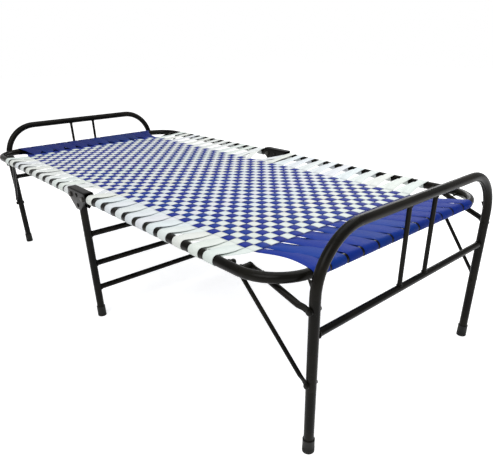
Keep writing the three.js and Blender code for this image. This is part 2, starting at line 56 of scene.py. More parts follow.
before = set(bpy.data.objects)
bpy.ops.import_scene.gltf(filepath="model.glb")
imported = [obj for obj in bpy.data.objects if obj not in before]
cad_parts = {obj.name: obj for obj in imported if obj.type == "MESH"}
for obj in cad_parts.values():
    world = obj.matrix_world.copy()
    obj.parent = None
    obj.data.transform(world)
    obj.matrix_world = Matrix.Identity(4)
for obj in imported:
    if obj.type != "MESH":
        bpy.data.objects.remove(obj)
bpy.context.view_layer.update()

# Places that the pieces share. LEG_X and RAIL_Y are read from the frame
LEG_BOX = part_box("spindle_foot_near")
STAND_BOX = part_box("middle_leg_near")
LEG_X = (LEG_BOX[0].x + LEG_BOX[1].x) / 2
RAIL_Y = -(STAND_BOX[0].y + STAND_BOX[1].y) / 2
RAIL_Z = 0.445
RAIL_START_X = 0.032
RAIL_END_X = 0.9025
LEG_Y = 0.374
LEG_BAR_Z = 0.325
TUBE_FOOT_Z = 0.0043
HINGE_X = 0.045
BRACKET_HALF_WIDTH = 0.016
ARM_PIVOT_X = 0.785
STAY_PIVOT_X = 0.743986
ARM_LEG_Z = 0.388
STAY_LEG_Z = 0.200
# From the middle of a leg to the end of a bar that is welded to it, and to the bar's bead
BAR_GAP = 0.0095
BEAD_GAP = 0.0128
# How far the middle of a bead lies outside the tube or boss that it goes round
BEAD_OUT = 0.0006

SIDES = (("near", -1), ("far", 1))
ENDS = (("foot", 1), ("head", -1))
HALF_TURN = Matrix.Rotation(math.pi, 4, "Z")
MIRRORED = Matrix.Scale(-1, 4, (0, 1, 0))


# ---------------------------------------------------------------- sizes and colours to change


def length(name, description, default):
    return FloatProperty(
        name=name, description=description, default=default, unit="LENGTH", precision=4
    )


def colour(name, description, default):
    return FloatVectorProperty(
        name=name, description=description, default=default, size=3, subtype="COLOR", min=0, max=1
    )


class CharpaiTubeSizes(bpy.types.PropertyGroup):
    rail_diameter: length("Rail tube", "Outside diameter of the rails and legs", 0.025)
    rail_wall: length("Rail wall", "Wall of the rail tube", 0.0015)
    crossbar_diameter: length(
        "Crossbar tube", "Outside diameter of crossbars and stand bars", 0.019
    )
    spindle_diameter: length("Spindle", "Diameter of the spindles in the arches", 0.012)
    corner_radius: length("Corner radius", "Bend of the rails at the four corners", 0.115)
    arch_radius: length("Arch radius", "Bend of the leg frames at the top", 0.135)
    arch_height: length("Arch height", "Middle of the arch tube over the floor", 0.549)
    weld_bead: length("Weld bead", "Radius of a weld bead", 0.0016)
    sides: IntProperty(name="Sides", description="Facets round a tube", default=32, min=12)


class CharpaiWebbingSizes(bpy.types.PropertyGroup):
    thickness: length("Strap thickness", "Thickness of a webbing strap", 0.001)
    level: length("Field level", "Middle of the woven field over the floor", 0.449)
    length_width: length("Lengthwise strap", "Width of a blue lengthwise strap", 0.0275)
    cross_width: length("Crosswise strap", "Width of a white crosswise strap", 0.0302)
    rail_width: length("Strap at the rail", "Width of a strap where it turns round the rail", 0.037)
    lift: length("Weave lift", "How far a strap rises and dips as it crosses another", 0.0006)
    crown: length("Weave crown", "Extra rise in the middle of each crossing", 0.0004)


class CharpaiColours(bpy.types.PropertyGroup):
    enamel: colour("Enamel", "Stoving enamel on the tubes", (0.0034, 0.0033, 0.0026))
    # The brownish second enamel colour is partly abraded enamel and partly a painted highlight
    enamel_worn_and_highlight: colour(
        "Enamel, rubbed", "Enamel where hands and straps have rubbed it", (0.020, 0.017, 0.012)
    )
    bracket: colour("Bracket", "Semi-gloss enamel on bent sheet", (0.0032, 0.003, 0.0025))
    zinc: colour("Zinc", "Darkened zinc plate on bolts, rivets and pins", (0.09, 0.088, 0.082))
    ferrule: colour("Ferrule", "Moulded ferrules on the feet", (0.0065, 0.0065, 0.0055))
    blue: colour("Blue strap", "Lengthwise webbing", (0.018, 0.041, 0.31))
    # The second blue and the white shade are painted shade in the hollows between the ribs of the
    # weave
    blue_rib_shade: colour(
        "Blue strap, deep", "Lengthwise webbing between its ribs", (0.007, 0.014, 0.15)
    )
    white: colour("White strap", "Crosswise webbing", (0.76, 0.80, 0.80))
    white_shade: colour(
        "White strap, shade", "Crosswise webbing between its ribs", (0.57, 0.60, 0.61)
    )


# ---------------------------------------------------------------- modelling helpers


def deselect():
    bpy.ops.object.select_all(action="DESELECT")


def only(obj):
    deselect()
    bpy.context.view_layer.objects.active = obj
    obj.select_set(True)


def named(obj, name):
    obj.name = obj.data.name = name
    return obj


def added(primitive, name, **values):
    """Adds a primitive at its size and place, with its place in its mesh."""
    deselect()
    primitive(**values)
    obj = named(bpy.context.object, name)
    bpy.ops.object.transform_apply(location=True, rotation=True, scale=True)
    return obj


def enter_edit(obj):
    """Into edit mode with every vertex selected."""
    only(obj)
    bpy.ops.object.mode_set(mode="EDIT")
    bpy.ops.mesh.select_mode(type="VERT")
    bpy.ops.mesh.select_all(action="SELECT")


@contextmanager
def editing(obj):
    enter_edit(obj)
    try:
        yield bmesh.from_edit_mesh(obj.data)
    finally:
        bpy.ops.object.mode_set(mode="OBJECT")


def tidy_normals(obj):
    with editing(obj):
        bpy.ops.mesh.remove_doubles(threshold=0.00001)
        bpy.ops.mesh.normals_make_consistent(inside=False)


def extrude(move):
    bpy.ops.mesh.extrude_region_move(TRANSFORM_OT_translate={"value": Vector(move)})


def leave_edit(obj, closed):
    """Out of edit mode, with the open rings of a closed piece filled."""
    if closed:
        bpy.ops.mesh.select_all(action="SELECT")
        bpy.ops.mesh.fill_holes(sides=0)
    bpy.ops.object.mode_set(mode="OBJECT")
    tidy_normals(obj)
    return obj


def modify(obj, kind, **values):
    only(obj)
    modifier = obj.modifiers.new(kind.title(), kind)
    for key, value in values.items():
        setattr(modifier, key, value)
    bpy.ops.object.modifier_apply(modifier=modifier.name)
    return obj


def round_edges(obj, width, angle=30):
    limit = math.radians(angle)
    return modify(obj, "BEVEL", width=width, segments=2, limit_method="ANGLE", angle_limit=limit)


def smooth(obj, angle):
    only(obj)
    bpy.ops.object.shade_smooth_by_angle(angle=math.radians(angle))


def join(first, *others):
    deselect()
    for obj in (*others, first):
        obj.select_set(True)
    bpy.context.view_layer.objects.active = first
    bpy.ops.object.join()
    return first


def remove(*spares):
    for spare in spares:
        bpy.data.objects.remove(spare)


def select_where(mesh, kind, test):
    """Selects the vertices, edges or faces that pass a test, and nothing else."""
    bpy.ops.mesh.select_all(action="DESELECT")
    bpy.ops.mesh.select_mode(type=kind)
    for item in {"VERT": mesh.verts, "EDGE": mesh.edges, "FACE": mesh.faces}[kind]:
        item.select_set(bool(test(item)))
    mesh.select_flush_mode()


def soft_step(share):
    share = min(max(share, 0), 1)
    return share * share * (3 - 2 * share)


def middle_of(item):
    points = [vert.co for vert in item.verts]
    return sum(points, Vector()) / len(points)


class TubeRun:
    """A round tube drawn as by hand: a ring is extruded along straights and spun round bends."""

    def __init__(self, name, start, heading, radius, sides):
        turn = Vector(heading).to_track_quat("Z", "Y").to_euler()
        circle = bpy.ops.mesh.primitive_circle_add
        self.obj = added(circle, name, vertices=sides, radius=radius, location=start, rotation=turn)
        enter_edit(self.obj)

    def bend(self, centre, axis, angle, steps=12):
        """Turns by an angle that is positive anticlockwise, seen against the axis."""
        bpy.ops.mesh.spin(steps=steps, angle=-angle, center=centre, axis=axis)

    def open_ends(self, wall):
        """Gives the tube its wall and leaves its ends open."""
        return modify(leave_edit(self.obj, False), "SOLIDIFY", thickness=wall, offset=-1)

    def closed_ends(self):
        return leave_edit(self.obj, True)


def straight_tube(name, start, reach, radius, sides):
    """A straight tube from its start, along reach."""
    run = TubeRun(name, start, reach, radius, sides)
    extrude(reach)
    return run.closed_ends()


def turned(name, profile, sides=24, closed=True):
    """A lathe-turned piece along +Z at the origin, from (radius, height) pairs, lowest first."""
    radius, height = profile[0]
    circle = bpy.ops.mesh.primitive_circle_add
    obj = added(circle, name, vertices=sides, radius=radius, location=(0, 0, height))
    enter_edit(obj)
    for new_radius, new_height in profile[1:]:
        extrude((0, 0, new_height - height))
        grow = new_radius / radius
        bpy.ops.transform.resize(value=(grow, grow, 1), center_override=(0, 0, new_height))
        radius, height = new_radius, new_height
    return leave_edit(obj, closed)


def place(obj, matrix):
    obj.data.transform(matrix)
    if matrix.to_3x3().determinant() < 0:
        obj.data.flip_normals()
    return obj


def copy_of(obj, name, matrix=Matrix.Identity(4)):
    new = obj.copy()
    new.data = obj.data.copy()
    for collection in obj.users_collection:
        collection.objects.link(new)
    return place(named(new, name), matrix)


def at(x, y, z):
    return Matrix.Translation((x, y, z))


def facing(way, x, y, z):
    """A place with +Z turned along +Y or -Y, by the sign of way."""
    return at(x, y, z) @ Matrix.Rotation(math.radians(-90 * way), 4, "X")


def weld_ring(radius, bead, seed, where):
    """An uneven fillet weld round the +Z of its place, with its puddles."""
    torus = bpy.ops.mesh.primitive_torus_add
    obj = added(
        torus, "bead", major_segments=64, minor_segments=8, major_radius=radius, minor_radius=bead
    )
    phase = random.Random(seed).uniform(0, math.tau)
    with editing(obj) as mesh:
        for vert in mesh.verts:
            angle = math.atan2(vert.co.y, vert.co.x)
            puddle = 1 + 0.16 * math.sin(angle * 17 + phase) + 0.12 * math.sin(angle * 5 - phase)
            ring = Vector((math.cos(angle) * radius, math.sin(angle) * radius, 0))
            vert.co = ring + (vert.co - ring) * puddle
    return place(obj, where)


def welded_bar(sizes, x, leg_y, z, seed):
    """A bar across the bed from leg to leg, with its weld beads."""
    radius = sizes.crossbar_diameter / 2
    reach = leg_y - BAR_GAP
    bar = straight_tube("bar", (x, -reach, z), (0, 2 * reach, 0), radius, 28)
    beads = []
    for _, side in SIDES:
        where = facing(side, x, side * (leg_y - BEAD_GAP), z)
        beads.append(weld_ring(radius + BEAD_OUT, sizes.weld_bead, seed + side, where))
    return join(bar, *beads)


def finish_piece(obj, material, body, node, angle=40):
    obj.data.materials.append(bpy.data.materials[material])
    smooth(obj, angle)
    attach(obj, body)
    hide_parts(node)


def finish_both_ends(obj, name, body, node):
    """Finishes an enamelled piece of the foot end, and its like at the head end."""
    named(obj, f"{name}_foot")
    other = copy_of(obj, f"{name}_head", HALF_TURN)
    for piece, end in ((obj, "foot"), (other, "head")):
        finish_piece(piece, "black enamel", f"{body}_{end}", f"{node}_{end}")


# ---------------------------------------------------------------- finishes


class Nodes:
    """Adds nodes to the tree of a material or a world."""

    def __init__(self, owner):
        owner.use_nodes = True
        self.tree = owner.node_tree

    def find(self, kind):
        return next(node for node in self.tree.nodes if node.type == kind)

    def put(self, node, socket, value):
        """Links another node's output to a socket, or sets the socket to a value."""
        target = node.inputs[socket]
        if isinstance(value, bpy.types.NodeSocket):
            self.tree.links.new(value, target)
        elif target.type == "RGBA":
            target.default_value = (*value, 1)
        else:
            target.default_value = value

    def node(self, kind, *values, settings=None, **inputs):
        """Adds a node, with its first inputs in order and others by name."""
        new = self.tree.nodes.new(kind)
        for key, value in (settings or {}).items():
            setattr(new, key, value)
        for index, value in enumerate(values):
            self.put(new, index, value)
        for key, value in inputs.items():
            self.put(new, key.replace("_", " "), value)
        return new

    def maths(self, operation, *values):
        return self.node("ShaderNodeMath", *values, settings={"operation": operation}).outputs[0]

    def times(self, first, second):
        return self.maths("MULTIPLY", first, second)

    def times_plus(self, first, second, third):
        return self.maths("MULTIPLY_ADD", first, second, third)


class Finish(Nodes):
    """Builds one material, whose patterns lie on a piece's own coordinates."""

    def __init__(self, name):
        super().__init__(bpy.data.materials.new(name))
        self.shader = self.find("BSDF_PRINCIPLED")
        self.where = self.node("ShaderNodeTexCoord").outputs["Object"]

    def set(self, **values):
        for key, value in values.items():
            self.put(self.shader, key.replace("_", " "), value)

    def noise(self, scale, detail=3.0, rough=0.5, distort=0.0):
        return self.node(
            "ShaderNodeTexNoise",
            Vector=self.where, Scale=scale, Detail=detail, Roughness=rough, Distortion=distort,
        ).outputs[0]

    def ramp(self, value, stops):
        new = self.node("ShaderNodeValToRGB", value)
        elements = new.color_ramp.elements
        while len(elements) < len(stops):
            elements.new(0.5)
        for element, (position, shade) in zip(elements, stops):
            element.position = position
            grey = isinstance(shade, (int, float))
            element.color = (shade, shade, shade, 1) if grey else (*shade, 1)
        return new.outputs["Color"]

    def patches(self, low, high, *noise):
        """Patches of a noise, from none at low to full at high."""
        return self.ramp(self.noise(*noise), [(low, 0.0), (high, 1.0)])

    def mix(self, amount, first, second, blend="MIX"):
        new = self.node("ShaderNodeMix", settings={"data_type": "RGBA", "blend_type": blend})
        for socket, value in ((0, amount), (6, first), (7, second)):
            self.put(new, socket, value)
        return new.outputs[2]

    def bump(self, height, strength, distance):
        bumped = self.node("ShaderNodeBump", Strength=strength, Distance=distance, Height=height)
        self.set(Normal=bumped.outputs[0])


def enamel_finish(name, base, worn_and_highlight, roughness, wear_and_highlight_share):
    """Stoved enamel: a slight orange peel, dust specks, and brownish patches along the tube that
    are partly abraded enamel and partly a painted highlight.
    """
    finish = Finish(name)
    # Brownish patches: partly abraded enamel, partly a painted highlight in place of the soft
    # highlights along the tubes
    wear_and_highlight = finish.patches(0.42, 0.72, 9.0, 4.0, 0.6)
    specks = finish.patches(0.66, 0.78, 420.0, 2.0, 0.6)
    enamel = finish.mix(finish.times(wear_and_highlight, wear_and_highlight_share), base, worn_and_highlight)
    rough = finish.times_plus(specks, 0.12, roughness)
    finish.set(
        Base_Color=finish.mix(finish.times(specks, 0.1), enamel, (0.10, 0.095, 0.08)),
        Roughness=finish.times_plus(wear_and_highlight, 0.16, rough),
        Specular_IOR_Level=0.09,
    )
    peel = finish.noise(240.0, 2.0, 0.5)
    runs = finish.noise(38.0, 2.0, 0.4)
    finish.bump(finish.times_plus(runs, 1.6, peel), 0.22, 0.0006)


def zinc_finish(name, base):
    """Zinc plate, clouded and grimed."""
    finish = Finish(name)
    cloud = finish.noise(160.0, 4.0, 0.6)
    fine = finish.noise(1300.0, 2.0, 0.6)
    grime = finish.patches(0.45, 0.7, 75.0, 3.0, 0.6)
    metal = finish.mix(cloud, [share * 0.6 for share in base], base)
    finish.set(
        Base_Color=finish.mix(finish.times(grime, 0.6), metal, (0.05, 0.042, 0.034)),
        Metallic=finish.times_plus(grime, -0.5, 0.95),
        Roughness=finish.times_plus(fine, 0.25, 0.3),
    )
    finish.bump(finish.maths("ADD", cloud, fine), 0.2, 0.0002)


def ferrule_finish(name, base):
    """Moulded black ferrules, scuffed on the floor."""
    finish = Finish(name)
    grain = finish.noise(900.0, 3.0, 0.65)
    scuffs = finish.patches(0.52, 0.72, 60.0, 4.0, 0.65, 0.6)
    finish.set(
        Base_Color=finish.mix(finish.times(scuffs, 0.25), base, (0.05, 0.048, 0.04)),
        Roughness=finish.times_plus(scuffs, 0.2, 0.55),
        Specular_IOR_Level=0.2,
    )
    finish.bump(grain, 0.3, 0.0003)


# Slight differences of colour from strap to strap, each as (share of the straps, tint)
WHITE_HINTS = (
    (0.0, (1.0, 1.0, 1.0)), (0.3, (1.0, 0.985, 0.93)), (0.5, (0.95, 1.0, 0.94)),
    (0.75, (0.97, 0.95, 1.0)), (1.0, (0.94, 0.98, 1.0)),
)
BLUE_HINTS = (
    (0.0, (1.0, 1.0, 1.0)), (0.4, (1.25, 1.0, 1.0)), (0.7, (0.95, 1.35, 1.08)),
    (1.0, (1.0, 1.1, 0.88)),
)
# Tint of the blue straps between the weave and the end rail, as (share of the end tint, tint):
# painted shade at the head end, and at the foot end a deeper blue with less red that offsets the
# grey of the lamps' reflections
FOOT_END_SHADE, HEAD_END_SHADE = 0.5, 1.0
END_SHADE_TINTS = (
    (0.0, (1.0, 1.0, 1.0)), (FOOT_END_SHADE, (0.5, 0.98, 1.04)), (HEAD_END_SHADE, (0.55, 0.6, 0.54)),
)
RIBS_ACROSS = 15
WEAVE_STEP = 0.0022


def strap_finish(name, light, rib_shade, hints, crossing_shade_colour, gloss):
    """Woven webbing strap. Its UV map runs across the strap (0 to 1) and along it in metres.
    Each strap has a tint of its own, painted shade where it passes under another strap, painted
    shade between its ribs, and a tint near the end rails that is painted shade at the head end."""
    finish = Finish(name)
    uv = finish.node("ShaderNodeUVMap", settings={"uv_map": "strap"}).outputs[0]
    across, along = finish.node("ShaderNodeSeparateXYZ", uv).outputs[:2]
    tint, dip, plain = (
        finish.node("ShaderNodeAttribute", settings={"attribute_name": key}).outputs["Fac"]
        for key in ("tint", "dip", "plain")
    )
    warp = finish.maths("SINE", finish.times(across, math.tau * RIBS_ACROSS))
    half_step = finish.times(finish.maths("SIGN", warp), math.pi / 2)
    weft = finish.maths("SINE", finish.times_plus(along, math.tau / WEAVE_STEP, half_step))
    yarn = finish.times_plus(weft, 0.5, finish.maths("ABSOLUTE", warp))
    yarn = finish.times_plus(yarn, 0.5, 0.3)
    edge = finish.maths("ABSOLUTE", finish.maths("SUBTRACT", across, 0.5))
    selvedge = finish.ramp(edge, [(0.40, 0.0), (0.455, 1.0), (0.5, 0.35)])
    soil = finish.ramp(finish.noise(26.0, 4.0, 0.65), [(0.35, 0.0), (0.8, 0.32)])
    # The yarn pattern paints shade in the hollows between the ribs
    cloth = finish.mix(yarn, rib_shade, light)
    # The strap's tint, painted shade where it passes under another, the end-rail tint, soil, and a
    # darker selvedge line
    for amount, shade in (
        (1.0, finish.ramp(tint, hints)),
        (dip, crossing_shade_colour),
        (1.0, finish.ramp(plain, END_SHADE_TINTS)),
        (soil, (0.80, 0.79, 0.76)),
        (finish.times(selvedge, 0.3), (0.74, 0.74, 0.78)),
    ):
        cloth = finish.mix(amount, cloth, shade, "MULTIPLY")
    rough = finish.times_plus(yarn, -0.14, 0.62)
    finish.set(Base_Color=cloth, Roughness=rough, Specular_IOR_Level=gloss)
    fuzz = finish.times(finish.noise(1500.0, 2.0, 0.6), 0.35)
    height = finish.times_plus(selvedge, 0.8, finish.maths("ADD", yarn, fuzz))
    finish.bump(height, 0.4, 0.0004)


def backdrop_finish(name):
    """Plain pale paper to the eye and in reflections, on which a soft shadow still falls."""
    material = bpy.data.materials.new(name)
    paper = Nodes(material)
    paper.tree.nodes.clear()
    diffuse = paper.node("ShaderNodeBsdfDiffuse", Color=(0.84, 0.84, 0.84)).outputs[0]
    glow = paper.node("ShaderNodeEmission", Color=(1, 1, 1), Strength=0.64).outputs[0]
    lit = paper.node("ShaderNodeAddShader", diffuse, glow).outputs[0]
    rays = paper.node("ShaderNodeLightPath").outputs
    seen = paper.maths("MAXIMUM", rays["Is Camera Ray"], rays["Is Glossy Ray"])
    seen = paper.maths("MAXIMUM", seen, rays["Is Transmission Ray"])
    shown = paper.node("ShaderNodeMixShader", seen, diffuse, lit).outputs[0]
    paper.node("ShaderNodeOutputMaterial", shown)
    return material


class CHARPAI_OT_finishes(bpy.types.Operator):
    """Makes the enamel, zinc, ferrule and webbing materials"""

    bl_idname = "charpai.finishes"
    bl_label = "Finishes"

    def execute(self, context):
        paint = context.scene.charpai_colours
        enamel_finish("black enamel", paint.enamel, paint.enamel_worn_and_highlight, 0.22, 0.5)
        enamel_finish("bracket enamel", paint.bracket, (0.014, 0.012, 0.009), 0.2, 0.4)
        zinc_finish("zinc plate", paint.zinc)
        ferrule_finish("ferrule", paint.ferrule)
        blue, white = (paint.blue, paint.blue_rib_shade), (paint.white, paint.white_shade)
        # The third colour is the painted shade where a strap passes under another
        strap_finish("blue webbing", *blue, BLUE_HINTS, (0.38, 0.36, 0.40), 0.06)
        strap_finish("white webbing", *white, WHITE_HINTS, (0.62, 0.63, 0.65), 0.3)
        return {"FINISHED"}


# ---------------------------------------------------------------- stage and camera


class CHARPAI_OT_stage(bpy.types.Operator):
    """Lays the pale floor, hangs the soft lamps and sets the camera"""

    bl_idname = "charpai.stage"
    bl_label = "Stage"

    def execute(self, context):
        floor = added(bpy.ops.mesh.primitive_plane_add, "floor", size=30)
        floor.data.materials.append(backdrop_finish("pale paper"))
        world = bpy.data.worlds.new("daylight")
        context.scene.world = world
        daylight = Nodes(world)
        background = daylight.find("BACKGROUND")
        seen = daylight.node("ShaderNodeLightPath").outputs["Is Camera Ray"]
        daylight.put(background, "Color", (1, 1, 1))
        daylight.put(background, "Strength", daylight.times_plus(seen, 0.48, 0.52))
        for name, spot, target, size, watts in (
            ("window", (1.6, -3.0, 3.2), (0.2, 0, 0.3), 2.6, 75),
            ("ceiling", (0.5, 0.5, 3.7), (0.2, 0, 0.3), 3.0, 54),
            ("far wall", (-1.4, 3.4, 2.6), (0, 0, 0.3), 2.0, 55),
        ):
            lamp = bpy.data.lights.new(name, "AREA")
            lamp.shape = "SQUARE"
            lamp.size = size
            lamp.energy = watts
            heading = Vector(target) - Vector(spot)
            self.hang(context, name, lamp, at(*spot) @ self.aim(heading))
        self.camera(context)
        context.scene.view_settings.view_transform = "Standard"
        return {"FINISHED"}

    def aim(self, heading):
        return heading.to_track_quat("-Z", "Y").to_matrix().to_4x4()

    def hang(self, context, name, data, where):
        obj = bpy.data.objects.new(name, data)
        context.scene.collection.objects.link(obj)
        obj.matrix_world = where
        return obj

    def camera(self, context):
        """Sets the camera: the picture's size, focal length and middle are in pixels."""
        wide, high = 493, 457
        focal_length, middle_x, middle_y = 481.3, 252.0, 281.4
        eye = (1.5067, -1.0316, 0.8815)
        yaw, pitch, roll = 0.718, 0.4622, -0.0194
        camera = bpy.data.cameras.new("camera")
        camera.sensor_width = 36
        camera.lens = focal_length / wide * camera.sensor_width
        camera.shift_x = (wide / 2 - middle_x) / wide
        camera.shift_y = (middle_y - high / 2) / wide
        camera.clip_start = 0.05
        level = math.cos(pitch)
        heading = Vector((-math.cos(yaw) * level, math.sin(yaw) * level, -math.sin(pitch)))
        where = at(*eye) @ self.aim(heading) @ Matrix.Rotation(roll, 4, "Z")
        context.scene.camera = self.hang(context, "camera", camera, where)


# ---------------------------------------------------------------- tubes


class CHARPAI_OT_half_frames(bpy.types.Operator):
    """Bends the two U-shaped rails and welds on their bosses and pegs"""

    bl_idname = "charpai.half_frames"
    bl_label = "Half frames"

    def execute(self, context):
        sizes = context.scene.charpai_tubes
        bead = sizes.weld_bead
        radius = sizes.rail_diameter / 2
        bend_x, bend_y = RAIL_END_X - sizes.corner_radius, RAIL_Y - sizes.corner_radius
        start = (RAIL_START_X, RAIL_Y, RAIL_Z)
        run = TubeRun("frame_rail", start, (1, 0, 0), radius, sizes.sides)
        extrude((bend_x - RAIL_START_X, 0, 0))
        run.bend((bend_x, bend_y, RAIL_Z), (0, 0, 1), -math.pi / 2)
        extrude((0, -2 * bend_y, 0))
        run.bend((bend_x, -bend_y, RAIL_Z), (0, 0, 1), -math.pi / 2)
        extrude((RAIL_START_X - bend_x, 0, 0))
        rail = run.open_ends(sizes.rail_wall)
        fittings = []
        bead_y = RAIL_Y - radius - 0.0004
        peg_x, peg_y, peg_bead_y, peg_z = ARM_PIVOT_X + 0.042, 0.4035, 0.4298, 0.4428
        for _, side in SIDES:
            for x, wide, face in ((ARM_PIVOT_X, 0.0078, 0.4075), (STAY_PIVOT_X, 0.007, 0.422)):
                reach = RAIL_Y - 0.006 - face
                profile = [(0.0043, 0), (wide - 0.0008, 0), (wide, 0.0008), (wide, reach)]
                where = facing(side, x, side * bead_y, RAIL_Z)
                fittings += [
                    place(turned("boss", profile), facing(side, x, side * face, RAIL_Z)),
                    weld_ring(wide + BEAD_OUT, bead, int(x * 1000) + side, where),
                ]
            peg = turned("peg", [(0.0032, 0), (0.004, 0.0008), (0.004, 0.030)], 20)
            where = facing(side, peg_x, side * peg_bead_y, peg_z)
            fittings += [
                place(peg, facing(side, peg_x, side * peg_y, peg_z)),
                weld_ring(0.004 + BEAD_OUT, bead, side, where),
            ]
        finish_both_ends(join(rail, *fittings), "frame_rail", "half", "frame")
        return {"FINISHED"}


class CHARPAI_OT_leg_frames(bpy.types.Operator):
    """Bends the arched leg frames and adds their studs and gussets"""

    bl_idname = "charpai.leg_frames"
    bl_label = "Leg frames"

    def execute(self, context):
        sizes = context.scene.charpai_tubes
        radius = sizes.rail_diameter / 2
        bend_y, bend_z = LEG_Y - sizes.arch_radius, sizes.arch_height - sizes.arch_radius
        start = (LEG_X, LEG_Y, TUBE_FOOT_Z)
        run = TubeRun("leg_arch", start, (0, 0, 1), radius, sizes.sides)
        extrude((0, 0, bend_z - TUBE_FOOT_Z))
        run.bend((LEG_X, bend_y, bend_z), (1, 0, 0), math.pi / 2, 16)
        extrude((0, -2 * bend_y, 0))
        run.bend((LEG_X, -bend_y, bend_z), (1, 0, 0), math.pi / 2, 16)
        extrude((0, 0, TUBE_FOOT_Z - bend_z))
        legs = run.closed_ends()
        fittings = []
        stud_y, cap_y = LEG_Y - radius - 0.003, 0.3923
        collar = [(0.0045, 0), (0.0065, 0.0005), (0.007, 0.0012), (0.007, 0.003), (0.004, 0.0034)]
        for _, side in SIDES:
            for z, reach in ((ARM_LEG_Z, 0.0335), (STAY_LEG_Z, 0.0262)):
                stud = turned("stud", [*collar, (0.004, reach)])
                fittings.append(place(stud, facing(side, LEG_X, side * stud_y, z)))
            cap = turned("cap", [(0.007, 0), (0.007, 0.0016), (0.0062, 0.0025), (0.004, 0.003)])
            fittings.append(place(cap, facing(side, LEG_X, side * cap_y, ARM_LEG_Z)))
            fittings.append(self.gusset(side))
        finish_both_ends(join(legs, *fittings), "leg_arch", "legs", "leg_frame")
        return {"FINISHED"}

    def gusset(self, side):
        """A small three-cornered plate on the leg, under the rail's corner."""
        middle = Vector((LEG_X - 0.0145, side * LEG_Y, 0.442))
        cube = bpy.ops.mesh.primitive_cube_add
        gusset = added(cube, "gusset", size=1, location=middle, scale=(0.013, 0.004, 0.018))
        with editing(gusset) as mesh:
            select_where(mesh, "VERT", lambda v: v.co.z < middle.z and v.co.x < middle.x)
            bpy.ops.transform.translate(value=(0.009, 0, 0))
        return round_edges(gusset, 0.0006)


class CHARPAI_OT_crossbars(bpy.types.Operator):
    """Welds the crossbar and the two spindles into each leg frame"""

    bl_idname = "charpai.crossbars"
    bl_label = "Crossbars and spindles"

    def execute(self, context):
        sizes = context.scene.charpai_tubes
        bar = welded_bar(sizes, LEG_X, LEG_Y, LEG_BAR_Z, 40)
        finish_both_ends(bar, "crossbar_tube", "legs", "crossbar")
        radius = sizes.spindle_diameter / 2
        spindle_y = 0.057
        low, high = LEG_BAR_Z + 0.004, sizes.arch_height - 0.007
        rod = straight_tube("spindle", (LEG_X, 0, low), (0, 0, high - low), radius, 20)
        joints = (
            (60, LEG_BAR_Z + sizes.crossbar_diameter / 2),
            (61, sizes.arch_height - sizes.rail_diameter / 2),
        )
        beads = [
            weld_ring(radius + 0.0004, sizes.weld_bead, seed, at(LEG_X, 0, z)) for seed, z in joints
        ]
        join(rod, *beads)
        for end_name, end in ENDS:
            for side_name, side in SIDES:
                turn = HALF_TURN if end < 0 else Matrix.Identity(4)
                spot = f"{end_name}_{side_name}"
                spindle = copy_of(rod, f"spindle_rod_{spot}", at(0, side * spindle_y, 0) @ turn)
                finish_piece(spindle, "black enamel", f"legs_{end_name}", f"spindle_{spot}")
        remove(rod)
        return {"FINISHED"}


class CHARPAI_OT_middle_stand(bpy.types.Operator):
    """Makes the middle stand's legs and bars"""

    bl_idname = "charpai.middle_stand"
    bl_label = "Middle stand"

    def execute(self, context):
        sizes = context.scene.charpai_tubes
        radius, reach = sizes.rail_diameter / 2, (0, 0, 0.4594)
        for side_name, side in SIDES:
            foot = (0, side * RAIL_Y, TUBE_FOOT_Z)
            leg = straight_tube(f"stand_leg_{side_name}", foot, reach, radius, sizes.sides)
            finish_piece(leg, "black enamel", "middle_stand", f"middle_leg_{side_name}")
        for name, z in (("top", 0.3105), ("centre", 0.2025), ("bottom", 0.1105)):
            bar = named(welded_bar(sizes, 0, RAIL_Y, z, int(z * 1000)), f"stand_bar_{name}")
            finish_piece(bar, "black enamel", "middle_stand", f"middle_bar_{name}")
        return {"FINISHED"}


class CHARPAI_OT_ferrules(bpy.types.Operator):
    """Pushes a ribbed ferrule on each of the six feet"""

    bl_idname = "charpai.ferrules"
    bl_label = "Ferrules"

    def execute(self, context):
        profile = [
            (0.0105, 0.0012), (0.0118, 0.0), (0.0142, 0.0), (0.015, 0.0009), (0.015, 0.004),
            (0.0143, 0.0046), (0.0143, 0.0062), (0.015, 0.0068), (0.015, 0.0086),
            (0.0143, 0.0092), (0.0143, 0.0108), (0.015, 0.0114), (0.015, 0.0132),
            (0.0143, 0.0138), (0.0143, 0.0154), (0.0148, 0.016), (0.0146, 0.0345),
            (0.0149, 0.0352), (0.0149, 0.0374), (0.0143, 0.038), (0.0129, 0.038), (0.0127, 0.0372),
        ]
        ferrule = turned("ferrule", profile, 40)
        for side_name, side in SIDES:
            for foot, x, y, body, node in (
                ("foot", LEG_X, LEG_Y, "legs_foot", "foot_cap_foot"),
                ("head", -LEG_X, LEG_Y, "legs_head", "foot_cap_head"),
                ("middle", 0, RAIL_Y, "middle_stand", "middle_foot"),
            ):
                new = copy_of(ferrule, f"ferrule_{foot}_{side_name}", at(x, side * y, 0))
                finish_piece(new, "ferrule", body, f"{node}_{side_name}")
        remove(ferrule)
        return {"FINISHED"}


# ---------------------------------------------------------------- hinges


